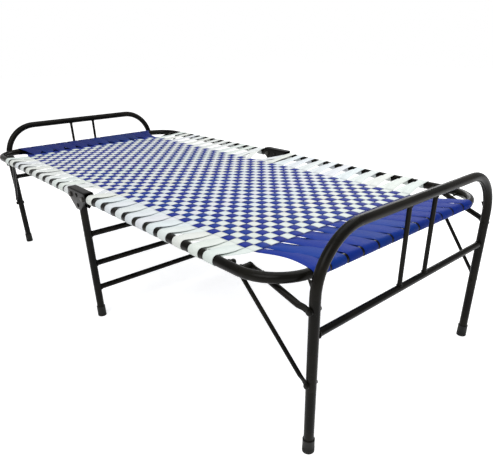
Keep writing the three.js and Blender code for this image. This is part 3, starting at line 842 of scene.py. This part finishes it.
class CHARPAI_OT_brackets(bpy.types.Operator):
    """Bends the two hinge brackets from sheet and closes their rivets"""

    bl_idname = "charpai.brackets"
    bl_label = "Hinge brackets"

    def execute(self, context):
        half_length, shoulder, rivet_x = 0.063, 0.051, 0.016
        drops = (0.027, 0.038)
        top = 0.467
        bottom = top - sum(drops)
        middle = (0, -RAIL_Y, top)
        plane = bpy.ops.mesh.primitive_plane_add
        bracket = added(plane, "bracket_sheet_near", size=1, location=middle)

        def on_cheek(edge):
            off = abs(middle_of(edge).y + RAIL_Y) - BRACKET_HALF_WIDTH
            return abs(off) < 0.0005 and abs(middle_of(edge).z - top) < 0.0005

        with editing(bracket):
            scale = (2 * half_length, 2 * BRACKET_HALF_WIDTH, 1)
            bpy.ops.transform.resize(value=scale, center_override=middle)
            for x in (-shoulder, -rivet_x, rivet_x, shoulder):
                bpy.ops.mesh.select_all(action="SELECT")
                bpy.ops.mesh.bisect(plane_co=(x, 0, 0), plane_no=(1, 0, 0))
            mesh = bmesh.from_edit_mesh(bracket.data)
            for way in (-1, 1):
                select_where(
                    mesh, "EDGE", lambda e: on_cheek(e) and (middle_of(e).y + RAIL_Y) * way > 0
                )
                for drop in drops:
                    extrude((0, 0, -drop))
            mesh = bmesh.from_edit_mesh(bracket.data)
            # The lower corners are cut off, as (place along, place and height after the cut)
            for x, cut_x, cut_z in ((half_length, 0.0629, 0.4405), (shoulder, shoulder, 0.430)):
                for vert in mesh.verts:
                    if abs(vert.co.z - bottom) < 0.001 and abs(abs(vert.co.x) - x) < 0.001:
                        vert.co.z = cut_z
                        vert.co.x = math.copysign(cut_x, vert.co.x)
            select_where(mesh, "EDGE", on_cheek)
            bpy.ops.mesh.bevel(offset=0.005, segments=5, affect="EDGES")
        tidy_normals(bracket)
        modify(bracket, "SOLIDIFY", thickness=0.003, offset=-1, use_even_offset=True)
        round_edges(bracket, 0.0006, 50)
        far = copy_of(bracket, "bracket_sheet_far", MIRRORED)
        for sheet, side_name in ((bracket, "near"), (far, "far")):
            node = f"hinge_bracket_{side_name}"
            finish_piece(sheet, "bracket enamel", "middle_stand", node, angle=30)
        dome = [
            (0.004, -0.003), (0.004, 0), (0.0071, 0), (0.0071, 0.0006), (0.0064, 0.0017),
            (0.0048, 0.0026), (0.0025, 0.0031),
        ]
        head = turned("rivet", dome, 28)
        for side_name, side in SIDES:
            for name, z in (("upper", 0.450), ("lower", 0.416)):
                heads = []
                for way in (1, -1):
                    y = side * (RAIL_Y + way * BRACKET_HALF_WIDTH)
                    where = facing(side * way, 0, y, z)
                    heads.append(copy_of(head, f"rivet_{name}_{side_name}", where))
                rivet = join(*heads)
                finish_piece(rivet, "bracket enamel", "middle_stand", f"{name}_rivet_{side_name}")
        remove(head)
        return {"FINISHED"}


class CHARPAI_OT_hinge_bolts(bpy.types.Operator):
    """Fits the hinge bolts with their nuts and washers, and the bushes that float on them"""

    bl_idname = "charpai.hinge_bolts"
    bl_label = "Hinge bolts"

    def execute(self, context):
        outer_y, inner_y = RAIL_Y + BRACKET_HALF_WIDTH, RAIL_Y - BRACKET_HALF_WIDTH
        bush_y, nut_reach = 0.4299, 0.0082
        head = self.hexagon("bolt_head", 0.0053)
        nut = self.hexagon("nut", 0.0062)
        shaft_length = outer_y - inner_y + nut_reach + 0.0006
        shaft = turned("shaft", [(0.0034, 0), (0.004, 0.0006), (0.004, shaft_length)])
        ring = [(0.0088, -0.0002), (0.0091, 0.0001), (0.0091, 0.0008), (0.0088, 0.001)]
        washer = turned("washer", ring, 28)
        bush = turned("bush", [(0.006, 0), (0.006, 0.0252)], 28, closed=False)
        modify(bush, "SOLIDIFY", thickness=0.0016, offset=-1)
        for end_name, end in ENDS:
            for side_name, side in SIDES:
                x, spot = end * HINGE_X, f"{end_name}_{side_name}"
                turn = Matrix.Rotation(0.4 * end + 0.9 * side, 4, "Z")
                outside = facing(side, x, side * outer_y, RAIL_Z)
                inside = facing(-side, x, side * inner_y, RAIL_Z)
                bolt = join(
                    copy_of(head, f"bolt_{spot}", outside @ turn),
                    copy_of(washer, "washer", outside),
                    copy_of(nut, "nut", inside @ turn),
                    copy_of(washer, "washer", inside),
                    copy_of(shaft, "shaft", facing(side, x, side * (inner_y - nut_reach), RAIL_Z)),
                )
                finish_piece(bolt, "zinc plate", "middle_stand", f"hinge_bolt_{spot}", angle=30)
                sleeve = copy_of(bush, f"bush_{spot}", facing(side, x, side * bush_y, RAIL_Z))
                body = f"hinge_sleeves_{end_name}"
                finish_piece(sleeve, "zinc plate", body, f"hinge_sleeve_{spot}")
        remove(head, nut, shaft, washer, bush)
        return {"FINISHED"}

    def hexagon(self, name, thick):
        """A bolt head or nut: six flats, with its top corners turned down."""
        corner = 0.0075 / math.cos(math.pi / 6)
        cylinder = bpy.ops.mesh.primitive_cylinder_add
        middle = (0, 0, thick / 2)
        obj = added(cylinder, name, vertices=6, radius=corner, depth=thick, location=middle)
        with editing(obj) as mesh:
            select_where(mesh, "FACE", lambda face: face.normal.z > 0.9)
            bpy.ops.mesh.inset(thickness=0.0009, depth=0)
            for vert in bmesh.from_edit_mesh(obj.data).verts:
                if vert.co.z > thick - 0.0001 and vert.co.xy.length > corner - 0.0003:
                    vert.co.z -= 0.0007
        return round_edges(obj, 0.0003, 25)


# ---------------------------------------------------------------- folding links

# Of each link: its pivot on the rail, its pin's height on the leg, the face of its boss, its tip
# (thickness, width), its pressed and full section (half thickness, half width, squareness), and
# its line, as (share of the length, place across), which is pressed at both ends and full between
LINKS = {
    "arm": (
        ARM_PIVOT_X, ARM_LEG_Z, 0.402, (0.005, 0.017),
        (0.0025, 0.0085, 0.35), (0.0077, 0.0077, 1),
        ((0.08, 0.4045), (0.18, 0.4018), (0.82, 0.3947), (0.92, 0.3895)),
    ),
    "stay": (
        STAY_PIVOT_X, STAY_LEG_Z, 0.4175, (0.004, 0.0135),
        (0.002, 0.0062, 0.35), (0.0053, 0.0053, 1),
        ((0.04, 0.4195), (0.09, 0.4167), (0.5, 0.4044), (0.9, 0.3924), (0.96, 0.389)),
    ),
}


def flattened_bar(name, stations, sides=24):
    """A tube with pressed ends along +X: rings are extruded to their stations and then pressed.

    A station is (place along, middle across, half thickness, half width, squareness)."""
    run = TubeRun(name, (stations[0][0], 0, 0), (1, 0, 0), 0.01, sides)
    for before, after in zip(stations, stations[1:]):
        extrude((after[0] - before[0], 0, 0))
    for vert in bmesh.from_edit_mesh(run.obj.data).verts:
        _, middle, thin, wide, square = min(stations, key=lambda s: abs(s[0] - vert.co.x))
        angle = math.atan2(vert.co.z, vert.co.y)
        y, z = math.cos(angle), math.sin(angle)
        vert.co.y = middle + thin * math.copysign(abs(y) ** square, y)
        vert.co.z = wide * z
    return run.closed_ends()


def pressed_tip(pivot, outward, middle, thick, wide):
    """Stations of a pressed end: in from its tip at the start, or out to it at the end."""
    tip = []
    for share in (0.985, 0.93, 0.83, 0.68, 0.48, 0.25, 0):
        half_width = math.sqrt(1 - share**2) * wide / 2
        tip.append((pivot + outward * share * wide / 2, middle, thick / 2, half_width, 0.35))
    return tip if outward < 0 else tip[::-1]


def eased(first, last, steps=6):
    """Stations that pass smoothly from one shape to the next."""
    rows = []
    for step in range(1, steps):
        share = step / steps
        soft = soft_step(share)
        shape = (a + (b - a) * soft for a, b in zip(first[1:], last[1:]))
        rows.append((first[0] + (last[0] - first[0]) * share, *shape))
    return rows


def link_bar(name, reach, tip, flat, full, line):
    """The tube of a link, from its pivot at the origin along +X to its pin."""
    shapes = [flat, *[full] * (len(line) - 2), flat]
    rows = [(reach * share, y, *shape) for (share, y), shape in zip(line, shapes)]
    stations = [
        *pressed_tip(0, -1, line[0][1], *tip),
        rows[0], *eased(rows[0], rows[1]), *rows[1:-1], *eased(rows[-2], rows[-1]), rows[-1],
        *pressed_tip(reach, 1, line[-1][1], *tip),
    ]
    return flattened_bar(name, stations)


class CHARPAI_OT_links(bpy.types.Operator):
    """Presses the ends of the arms and stays and pins them to the rails and legs"""

    bl_idname = "charpai.links"
    bl_label = "Arms and stays"

    def execute(self, context):
        dome = [
            (0.004, -0.0002), (0.0059, 0.0), (0.006, 0.0006), (0.006, 0.0016),
            (0.0054, 0.0022), (0.0036, 0.0026),
        ]
        head = turned("pin_head", dome, 28)
        button_y, pin_end = 0.391, 0.4297
        for name, (pivot_x, leg_z, face, *sections) in LINKS.items():
            out, down = LEG_X - pivot_x, RAIL_Z - leg_z
            reach = math.hypot(out, down)
            bar = link_bar(name, reach, *sections)
            if name == "stay":
                button = [(0.007, -0.0004), (0.007, 0.0016), (0.0062, 0.0025), (0.004, 0.003)]
                join(bar, place(turned("button", button, 28), facing(1, reach, button_y, 0)))
            slope = Matrix.Rotation(math.atan2(down, out), 4, "Y")
            pin_start = face - 0.0003
            shank = turned("shank", [(0.004, 0), (0.004, pin_end - pin_start)], 20)
            for end_name, end in ENDS:
                for side_name, side in SIDES:
                    turn = Matrix.Identity(4) if end > 0 else HALF_TURN
                    local = side * end
                    flip = Matrix.Identity(4) if local > 0 else MIRRORED
                    spot = f"{end_name}_{side_name}"
                    where = turn @ at(pivot_x, 0, RAIL_Z) @ slope @ flip
                    new = copy_of(bar, f"{name}_bar_{spot}", where)
                    finish_piece(new, "black enamel", f"{name}s_{end_name}", f"{name}_{spot}")
                    where = (pivot_x, local * pin_start, RAIL_Z)
                    pin = join(
                        copy_of(head, f"{name}_pin_{spot}", turn @ facing(-local, *where)),
                        copy_of(shank, "shank", turn @ facing(local, *where)),
                    )
                    finish_piece(pin, "zinc plate", f"half_{end_name}", f"{name}_pivot_pin_{spot}")
            remove(bar, shank)
        remove(head)
        return {"FINISHED"}


# ---------------------------------------------------------------- webbing

CROSS_COUNT = 24
LENGTH_COUNT = 23
CROSS_PITCH = 0.0309
LENGTH_PITCH = 0.0282
# The blue straps lie nearer to the near side
FIELD_MIDDLE_Y = -0.032
FIELD_SIDES = {side: FIELD_MIDDLE_Y + side * LENGTH_COUNT * LENGTH_PITCH / 2 for _, side in SIDES}
FIELD_X = CROSS_COUNT * CROSS_PITCH
# Places of the points within a crossing, from -1 to 1
STEPS_IN_CROSSING = (-1.0, -0.9, -0.62, 0.0, 0.62, 0.9)
# Room between a strap and the tube that it lies on, and between two straps that lie together
STRAP_GAP = 0.0002
LAYER_GAP = 0.0003
# How far the straps of a pair part on their way to the rail, above and below its middle
PAIR_LIFT = 0.0007
# How far each strap of a pair lies from the middle of its band round a rail, and how far on the
# far side away from the fold
PAIR_LEAN = 0.003
FAR_LEAN = 0.005
# Width at the rail of the pair over the fold
FOLD_BAND_WIDTH = 0.030
# Middles of the white bands round the near and far rails, in metres from the fold
BAND_PLACES = {
    ("foot", -1): (0.090, 0.150, 0.213, 0.275, 0.336, 0.395, 0.450, 0.507, 0.573, 0.641, 0.696),
    ("foot", 1): (0.089, 0.137, 0.195, 0.255, 0.316, 0.378, 0.441, 0.504, 0.567, 0.630, 0.692),
    ("head", -1): (0.086, 0.138, 0.195, 0.257, 0.322, 0.391, 0.459, 0.520, 0.583, 0.648, 0.704),
    ("head", 1): (0.100, 0.161, 0.223, 0.285, 0.347, 0.409, 0.471, 0.533, 0.594, 0.654, 0.712),
}
# Pitch of the blue bands round the end rails
END_BAND_PITCH = 0.0578


def shares_between(steps, back=False):
    shares = [step / steps for step in range(1, steps)]
    return shares[::-1] if back else shares


def rail_turn(start, centre, radius, past=0.0, steps=14):
    """Points round a rail in the plane of (distance out, height): from where a strap drawn from
    start touches its top, round the outside, to where it leaves beneath it, or that much past."""
    out, up = centre[0] - start[0], centre[1] - start[1]
    spread = math.acos(radius / math.hypot(out, up))
    high = math.atan2(-up, -out) - spread
    span = math.tau - 2 * spread + past
    angles = [high - span * step / steps for step in range(steps + 1)]
    return [(centre[0] + radius * math.cos(a), centre[1] + radius * math.sin(a)) for a in angles]


def side_turn(start, centre, radius, lip=0.0045, rise=0.002):
    """Points round a side rail, and from its inner side over a small lip towards the field. The
    folded arms and stays lie beside the rail, so the returning strap passes over them."""
    points = rail_turn(start, centre, radius, math.radians(78), 20)
    for step in range(6):
        angle = math.pi / 2 * step / 5
        inner = centre[0] - radius - lip + lip * math.cos(angle)
        points.append((inner, centre[1] + rise + lip * math.sin(angle)))
    return points


class StrapLine:
    """The line of one strap, with its width, its painted shade at the crossings and its end-rail
    tint at each point.
    """

    def __init__(self):
        self.points, self.widths, self.dips, self.end_shades = [], [], [], []

    def add(self, x, y, z, width, dip=0.0, plain=0.0):
        self.points.append((x, y, z))
        self.widths.append(width)
        self.dips.append(dip)
        self.end_shades.append(plain)


class StrapCloth:
    """Collects ribbons as one mesh with a UV map along each strap and a tint for each."""

    def __init__(self, thickness):
        self.thickness = thickness
        self.points, self.faces, self.uvs = [], [], []
        self.shading = {"tint": [], "dip": [], "plain": []}

    def ribbon(self, line, across, tint, closed, columns, offset):
        """A flat strap of real thickness along its line. across is the direction of its width."""
        centres = np.asarray(line.points, float)
        count = len(centres)
        if closed:
            ahead = np.roll(centres, -1, 0) - np.roll(centres, 1, 0)
        else:
            ahead = np.gradient(centres, axis=0)
        across = np.asarray(across, float)
        ahead -= np.outer(ahead @ across, across)
        ahead /= np.linalg.norm(ahead, axis=1)[:, None]
        normal = np.cross(ahead, across)
        shares = np.linspace(-1, 1, columns * 2 + 1)
        top = [(share * 0.965, 1 - 0.10 * share**2) for share in shares]
        ring = [(-1.0, 0.0), *top, (1.0, 0.0), *((share, -height) for share, height in top[::-1])]
        size = len(ring)
        first = len(self.points)
        for middle, up, width, dip, plain in zip(
            centres, normal, line.widths, line.dips, line.end_shades
        ):
            self.points += [
                middle + across * (share * width / 2) + up * (height * self.thickness / 2)
                for share, height in ring
            ]
            for key, value in (("tint", tint), ("dip", dip), ("plain", plain)):
                self.shading[key] += [value] * size
        last = centres[:1] if closed else centres[-1:]
        steps = np.linalg.norm(np.diff(centres, axis=0, append=last), axis=1)
        along = np.concatenate([[0], np.cumsum(steps)]) + offset
        for index in range(count if closed else count - 1):
            here, after = first + index * size, first + (index + 1) % count * size
            for corner in range(size):
                following = (corner + 1) % size
                self.faces.append(
                    (here + corner, after + corner, after + following, here + following)
                )
                left, right = ring[corner][0] / 2 + 0.5, ring[following][0] / 2 + 0.5
                low, high = along[index], along[index + 1]
                self.uvs += [(left, low), (left, high), (right, high), (right, low)]
        if not closed:
            for index, order in ((0, 1), (count - 1, -1)):
                corners = [first + index * size + corner for corner in range(size)]
                self.faces.append(corners[::order])
                self.uvs += [(0.5, along[index])] * size

    def piece(self, name):
        mesh = bpy.data.meshes.new(name)
        mesh.from_pydata([tuple(point) for point in self.points], [], self.faces)
        layer = mesh.uv_layers.new(name="strap")
        layer.data.foreach_set("uv", np.asarray(self.uvs, np.float32).ravel())
        for key, values in self.shading.items():
            attribute = mesh.attributes.new(key, "FLOAT", "POINT")
            attribute.data.foreach_set("value", np.asarray(values, np.float32))
        obj = bpy.data.objects.new(name, mesh)
        bpy.context.scene.collection.objects.link(obj)
        with editing(obj):
            bpy.ops.mesh.normals_make_consistent(inside=False)
        return obj


def cut_at_fold(obj, keep_inner, end):
    """Keeps the part of a piece on one side of the hinge line, and closes the cut straps."""
    fold_x = end * HINGE_X
    with editing(obj):
        bpy.ops.mesh.bisect(
            plane_co=(fold_x, 0, 0), plane_no=(end, 0, 0),
            clear_inner=not keep_inner, clear_outer=keep_inner, use_fill=False,
        )
    with editing(obj) as mesh:
        select_where(
            mesh, "EDGE", lambda e: e.is_boundary and abs(middle_of(e).x - fold_x) < 0.0001
        )
        bpy.ops.mesh.fill()


class HalfWeave:
    """The straps of one half. They are drawn towards the foot, and then turned to their end."""

    def __init__(self, scene, end_name, end):
        self.sizes = scene.charpai_webbing
        self.end_name, self.end = end_name, end
        self.draw = random.Random(f"webbing {end_name}")
        # Which strap goes over the other at the first crossing
        self.phase = 0 if end > 0 else 1
        # How far the end-rail tint goes for this half: at the head end it is painted shade
        self.plain = FOOT_END_SHADE if end > 0 else HEAD_END_SHADE
        # The lengthwise straps are turned about Z, the crosswise ones only change their x
        self.middle_y = end * FIELD_MIDDLE_Y
        rail_radius = scene.charpai_tubes.rail_diameter / 2
        self.turn_radius = rail_radius + self.sizes.thickness / 2 + STRAP_GAP

    def crossing_point(self, share, over):
        """Height and painted shade at a share of a crossing, -1 to 1: a strap stands over or under
        the field's middle, and gets painted shade underneath and towards the edges of its open
        middle, where the crossing strap shades it."""
        crown = self.sizes.crown * math.cos(share * math.pi / 2) ** 2
        height = self.sizes.lift * (1 - abs(share) ** 6) + crown
        return self.sizes.level + over * height, 1.0 if over < 0 else abs(share) ** 4

    def crosswise(self):
        """Each pair of white straps is one loop: over both rails, and back from beneath them."""
        draw = self.draw
        cloth = StrapCloth(self.sizes.thickness)
        for pair in range(CROSS_COUNT // 2):
            first_x = (2 * pair + 0.5) * CROSS_PITCH
            second_x = first_x + CROSS_PITCH
            band = max(pair - 1, 0)
            bands = {
                side: BAND_PLACES[self.end_name, side][band] + draw.uniform(-0.002, 0.002)
                for _, side in SIDES
            }
            drift = [draw.uniform(-0.0007, 0.0007) for _ in range(4)]
            line = StrapLine()
            self.cross_over(line, 2 * pair, first_x, 1, *drift[:2])
            self.round_side(line, 1, first_x, second_x, bands[1], pair)
            self.cross_over(line, 2 * pair + 1, second_x, -1, *drift[2:])
            self.round_side(line, -1, second_x, first_x, bands[-1], pair)
            line.points = [(self.end * x, y, z) for x, y, z in line.points]
            columns = 5 if pair == 0 else 1
            cloth.ribbon(line, (1, 0, 0), draw.random(), True, columns, draw.random())
        return cloth

    def cross_over(self, line, index, x, way, drift, wander):
        """One white strap through the field, from one side to the other."""
        width = self.sizes.cross_width
        for row in range(LENGTH_COUNT)[::way]:
            middle = FIELD_MIDDLE_Y + (row - (LENGTH_COUNT - 1) / 2) * LENGTH_PITCH
            over = 1 if (row + index + self.phase) % 2 else -1
            for share in STEPS_IN_CROSSING:
                y = middle + way * share * LENGTH_PITCH / 2
                z, dip = self.crossing_point(share, over)
                line.add(x + drift + wander * math.sin(y * 7 + index), y, z, width, dip)
        line.add(x + drift, FIELD_SIDES[way], self.sizes.level, width)

    def round_side(self, line, side, out_x, back_x, band_x, pair):
        """Out to the rail, round it and back, on one side of the bed. The strap nearer to the fold
        goes over the top, but on the far side of the foot half the other one does. The pair over
        the fold lies under the next one, which shares its place on the rail."""
        sizes = self.sizes
        radius = self.turn_radius + (sizes.thickness + LAYER_GAP) * (pair == 1)
        turn = side_turn((abs(FIELD_SIDES[side]), sizes.level), (RAIL_Y, RAIL_Z), radius)
        over_first = side > 0 and self.phase == 1
        if not over_first:
            turn = turn[::-1]
        lean = -side * (FAR_LEAN if side > 0 and pair > 1 else PAIR_LEAN)
        sway = self.draw.uniform(-0.0015, 0.0015)
        out_band, back_band = band_x + lean + sway, band_x - lean + sway
        full = sizes.rail_width - 0.0015 * (side + 1) + self.draw.uniform(-0.0015, 0.0015)
        if pair == 0:
            full = FOLD_BAND_WIDTH
        self.side_fan(line, side, out_x, out_band, turn[0], full, False, over_first)
        for step, (y, z) in enumerate(turn):
            share = step / (len(turn) - 1)
            line.add(out_band + (back_band - out_band) * share, side * y, z, full)
        self.side_fan(line, side, back_x, back_band, turn[-1], full, True, not over_first)

    def side_fan(self, line, side, field_x, band_x, tangent, full, back, over):
        """Draws a white strap from the field to the rail. On the near side it spreads on its way,
        wider towards the fold and all along the head half, and on the far side it is gathered
        early."""
        narrow, level = self.sizes.cross_width, self.sizes.level
        edge = abs(FIELD_SIDES[side])
        calm = 1.0 if self.phase else 1 - soft_step((field_x - 0.40) / 0.2)
        spread = 0.0425 + 0.0075 * calm if full > narrow else full
        lift = PAIR_LIFT if over else -PAIR_LIFT
        for share in shares_between(10, back):
            apart = soft_step(share / 0.14) * (1 - soft_step(share / 0.7)) * lift
            if side < 0:
                bent = 0.35 * soft_step(share) + 0.65 * share
                width = narrow + (spread - narrow) * soft_step(share / 0.5)
                width += (full - spread) * soft_step((share - 0.7) / 0.3)
            else:
                bent = 1 - (1 - share) ** (1.4 if over else 2.6)
                width = narrow - (0 if over else 0.002) * soft_step(share / 0.3)
                width += (full - width) * soft_step((share - 0.6) / 0.4)
            x = field_x + (band_x - field_x) * bent
            y = side * (edge + (tangent[0] - edge) * share)
            line.add(x, y, level + (tangent[1] - level) * share + apart, width)

    def lengthwise(self):
        """The blue straps of one half: the first by itself and the others in pairs, each from the
        fold over the end rail and back from beneath it."""
        draw = self.draw
        cloth = StrapCloth(self.sizes.thickness)
        bands = (LENGTH_COUNT + 1) // 2
        turn = rail_turn((FIELD_X + 0.01, self.sizes.level), (RAIL_END_X, RAIL_Z), self.turn_radius)
        for band in range(bands):
            rows = [row for row in (2 * band - 1, 2 * band) if row >= 0]
            band_y = (band - (bands - 1) / 2) * END_BAND_PITCH + draw.uniform(-0.0006, 0.0006)
            full = draw.uniform(0.0475, 0.0535)
            body = END_BAND_PITCH - 0.0004 - draw.choice((0, 0, 0.0008, 0.0022))
            spread_by = draw.choice((0.34, 0.40, 0.46, 0.58))
            line = StrapLine()
            self.run_along(line, rows[0], 1)
            out_y, back_y = band_y - PAIR_LEAN, band_y + PAIR_LEAN
            self.end_fan(line, rows[0], out_y, turn[0], body, full, spread_by, False)
            for step, (x, z) in enumerate(turn):
                share = step / (len(turn) - 1)
                line.add(x, out_y + (back_y - out_y) * share, z, full, plain=self.plain)
            if len(rows) > 1:
                self.end_fan(line, rows[1], back_y, turn[-1], body, full, spread_by, True)
                self.run_along(line, rows[1], -1)
            else:
                self.loose_end(line, back_y, turn[-1], full)
            if self.end < 0:
                line.points = [(-x, -y, z) for x, y, z in line.points]
            cloth.ribbon(line, (0, 1, 0), draw.random(), False, 1, draw.random())
        return cloth

    def loose_end(self, line, y, low, full):
        """The short end of the first blue strap, beneath the field."""
        for step in range(1, 6):
            share = step / 5
            x, z = low[0] - 0.035 * share, low[1] + 0.0037 * share
            line.add(x, y + 0.009 * share, z, full - 0.022 * share, plain=self.plain)

    def row_y(self, row):
        return self.middle_y + (row - (LENGTH_COUNT - 1) / 2) * LENGTH_PITCH

    def run_along(self, line, row, way):
        """One blue strap through the field, from the fold to the field's end or back."""
        width, level = self.sizes.length_width, self.sizes.level
        y = self.row_y(row)
        drift = self.draw.uniform(-0.0004, 0.0004)
        wander = self.draw.uniform(-0.0005, 0.0005)
        # Each point between two crossings takes full painted shade, where the strap passes under
        # the crossing strap
        if way < 0:
            line.add(FIELD_X, y + drift, level, width, 1)
        for column in range(CROSS_COUNT)[::way]:
            middle = (column + 0.5) * CROSS_PITCH
            over = -1 if (row + column + self.phase) % 2 else 1
            for share in STEPS_IN_CROSSING[1:]:
                x = middle + way * share * CROSS_PITCH / 2
                z, dip = self.crossing_point(share, over)
                sway = drift * x / FIELD_X + wander * math.sin(x * 9 + row) * x
                line.add(x, y + sway, z, width, dip)
            # Full painted shade where the strap passes under the crossing strap
            boundary = middle + way * CROSS_PITCH / 2
            line.add(boundary, y + drift * boundary / FIELD_X, level, width, 1)

    def end_fan(self, line, row, band_y, tangent, body, full, spread_by, back):
        """Spreads a blue strap until it meets its neighbours. The outermost two spread slower, so
        the edge of the blue is hollow."""
        narrow, level = self.sizes.length_width, self.sizes.level
        outermost = row in (0, LENGTH_COUNT - 1)
        start_y = self.row_y(row)
        lift = -PAIR_LIFT if back or outermost else PAIR_LIFT
        for share in shares_between(16, back):
            bent = 0.2 * soft_step(share) + 0.8 * share
            sink = share**1.5 if back else share
            apart = soft_step(share / 0.06) * (1 - soft_step(share / 0.5)) * lift
            if outermost:
                width = narrow + (full - narrow) * bent
            else:
                width = narrow + (body - narrow) * soft_step(share / spread_by)
                width += (full - body) * soft_step((share - 0.72) / 0.28)
            # The end-rail tint (painted shade at the head end) comes in over the start of the fan
            line.add(
                FIELD_X + (tangent[0] - FIELD_X) * share,
                start_y + (band_y - start_y) * bent - 0.045 * math.sin(share * math.pi) * start_y,
                level + (tangent[1] - level) * sink + apart,
                width,
                plain=self.plain * soft_step(share / 0.15),
            )


class CHARPAI_OT_webbing(bpy.types.Operator):
    """Weaves the straps of the lying surface and turns them round the rails"""

    bl_idname = "charpai.webbing"
    bl_label = "Webbing"

    def execute(self, context):
        for end_name, end in ENDS:
            weave = HalfWeave(context.scene, end_name, end)
            sizes = weave.sizes
            side_bands = [f"side_bands_{end_name}_{side_name}" for side_name, _ in SIDES]
            for name, cloth, material, width, nodes in (
                ("crosswise", weave.crosswise(), "white webbing", sizes.cross_width,
                 [f"mat_{end_name}", *side_bands]),
                ("lengthwise", weave.lengthwise(), "blue webbing", sizes.length_width,
                 [f"end_bands_{end_name}"]),
            ):
                outer = cloth.piece(f"{name}_straps_{end_name}")
                inner = copy_of(outer, f"{name}_straps_fold_{end_name}")
                cut_at_fold(inner, True, end)
                cut_at_fold(outer, False, end)
                half, sleeves = f"half_{end_name}", f"hinge_sleeves_{end_name}"
                for obj, first, second, begin, finish, replaced in (
                    (inner, "middle_stand", sleeves, 0.030, HINGE_X, ["mat_middle"]),
                    (outer, sleeves, half, HINGE_X, 0.060, nodes),
                ):
                    obj.data.materials.append(bpy.data.materials[material])
                    smooth(obj, 50)
                    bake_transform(obj)
                    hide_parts(*replaced)
        return {"FINISHED"}


# ---------------------------------------------------------------- panel and main


OPERATORS = (
    CHARPAI_OT_finishes,
    CHARPAI_OT_stage,
    CHARPAI_OT_half_frames,
    CHARPAI_OT_leg_frames,
    CHARPAI_OT_crossbars,
    CHARPAI_OT_middle_stand,
    CHARPAI_OT_ferrules,
    CHARPAI_OT_brackets,
    CHARPAI_OT_hinge_bolts,
    CHARPAI_OT_links,
    CHARPAI_OT_webbing,
)
GROUPS = (
    ("charpai_tubes", CharpaiTubeSizes),
    ("charpai_webbing", CharpaiWebbingSizes),
    ("charpai_colours", CharpaiColours),
)


class CHARPAI_PT_panel(bpy.types.Panel):
    """Lists the charpai's sizes, colours and pieces"""

    bl_idname = "CHARPAI_PT_panel"
    bl_label = "Folding charpai"
    bl_space_type = "VIEW_3D"
    bl_region_type = "UI"
    bl_category = "Charpai"

    def draw(self, context):
        for name, _ in GROUPS:
            group = getattr(context.scene, name)
            box = self.layout.box()
            for key in group.__annotations__:
                box.prop(group, key)
        for operator in OPERATORS:
            self.layout.operator(operator.bl_idname)


def register():
    for name, group in GROUPS:
        bpy.utils.register_class(group)
        setattr(bpy.types.Scene, name, PointerProperty(type=group))
    for operator in OPERATORS:
        bpy.utils.register_class(operator)
    bpy.utils.register_class(CHARPAI_PT_panel)


def unregister():
    bpy.utils.unregister_class(CHARPAI_PT_panel)
    for operator in reversed(OPERATORS):
        bpy.utils.unregister_class(operator)
    for name, group in reversed(GROUPS):
        delattr(bpy.types.Scene, name)
        bpy.utils.unregister_class(group)


def main():
    register()
    for operator in OPERATORS:
        group, name = operator.bl_idname.split(".")
        getattr(getattr(bpy.ops, group), name)()


if __name__ == "__main__":
    main()
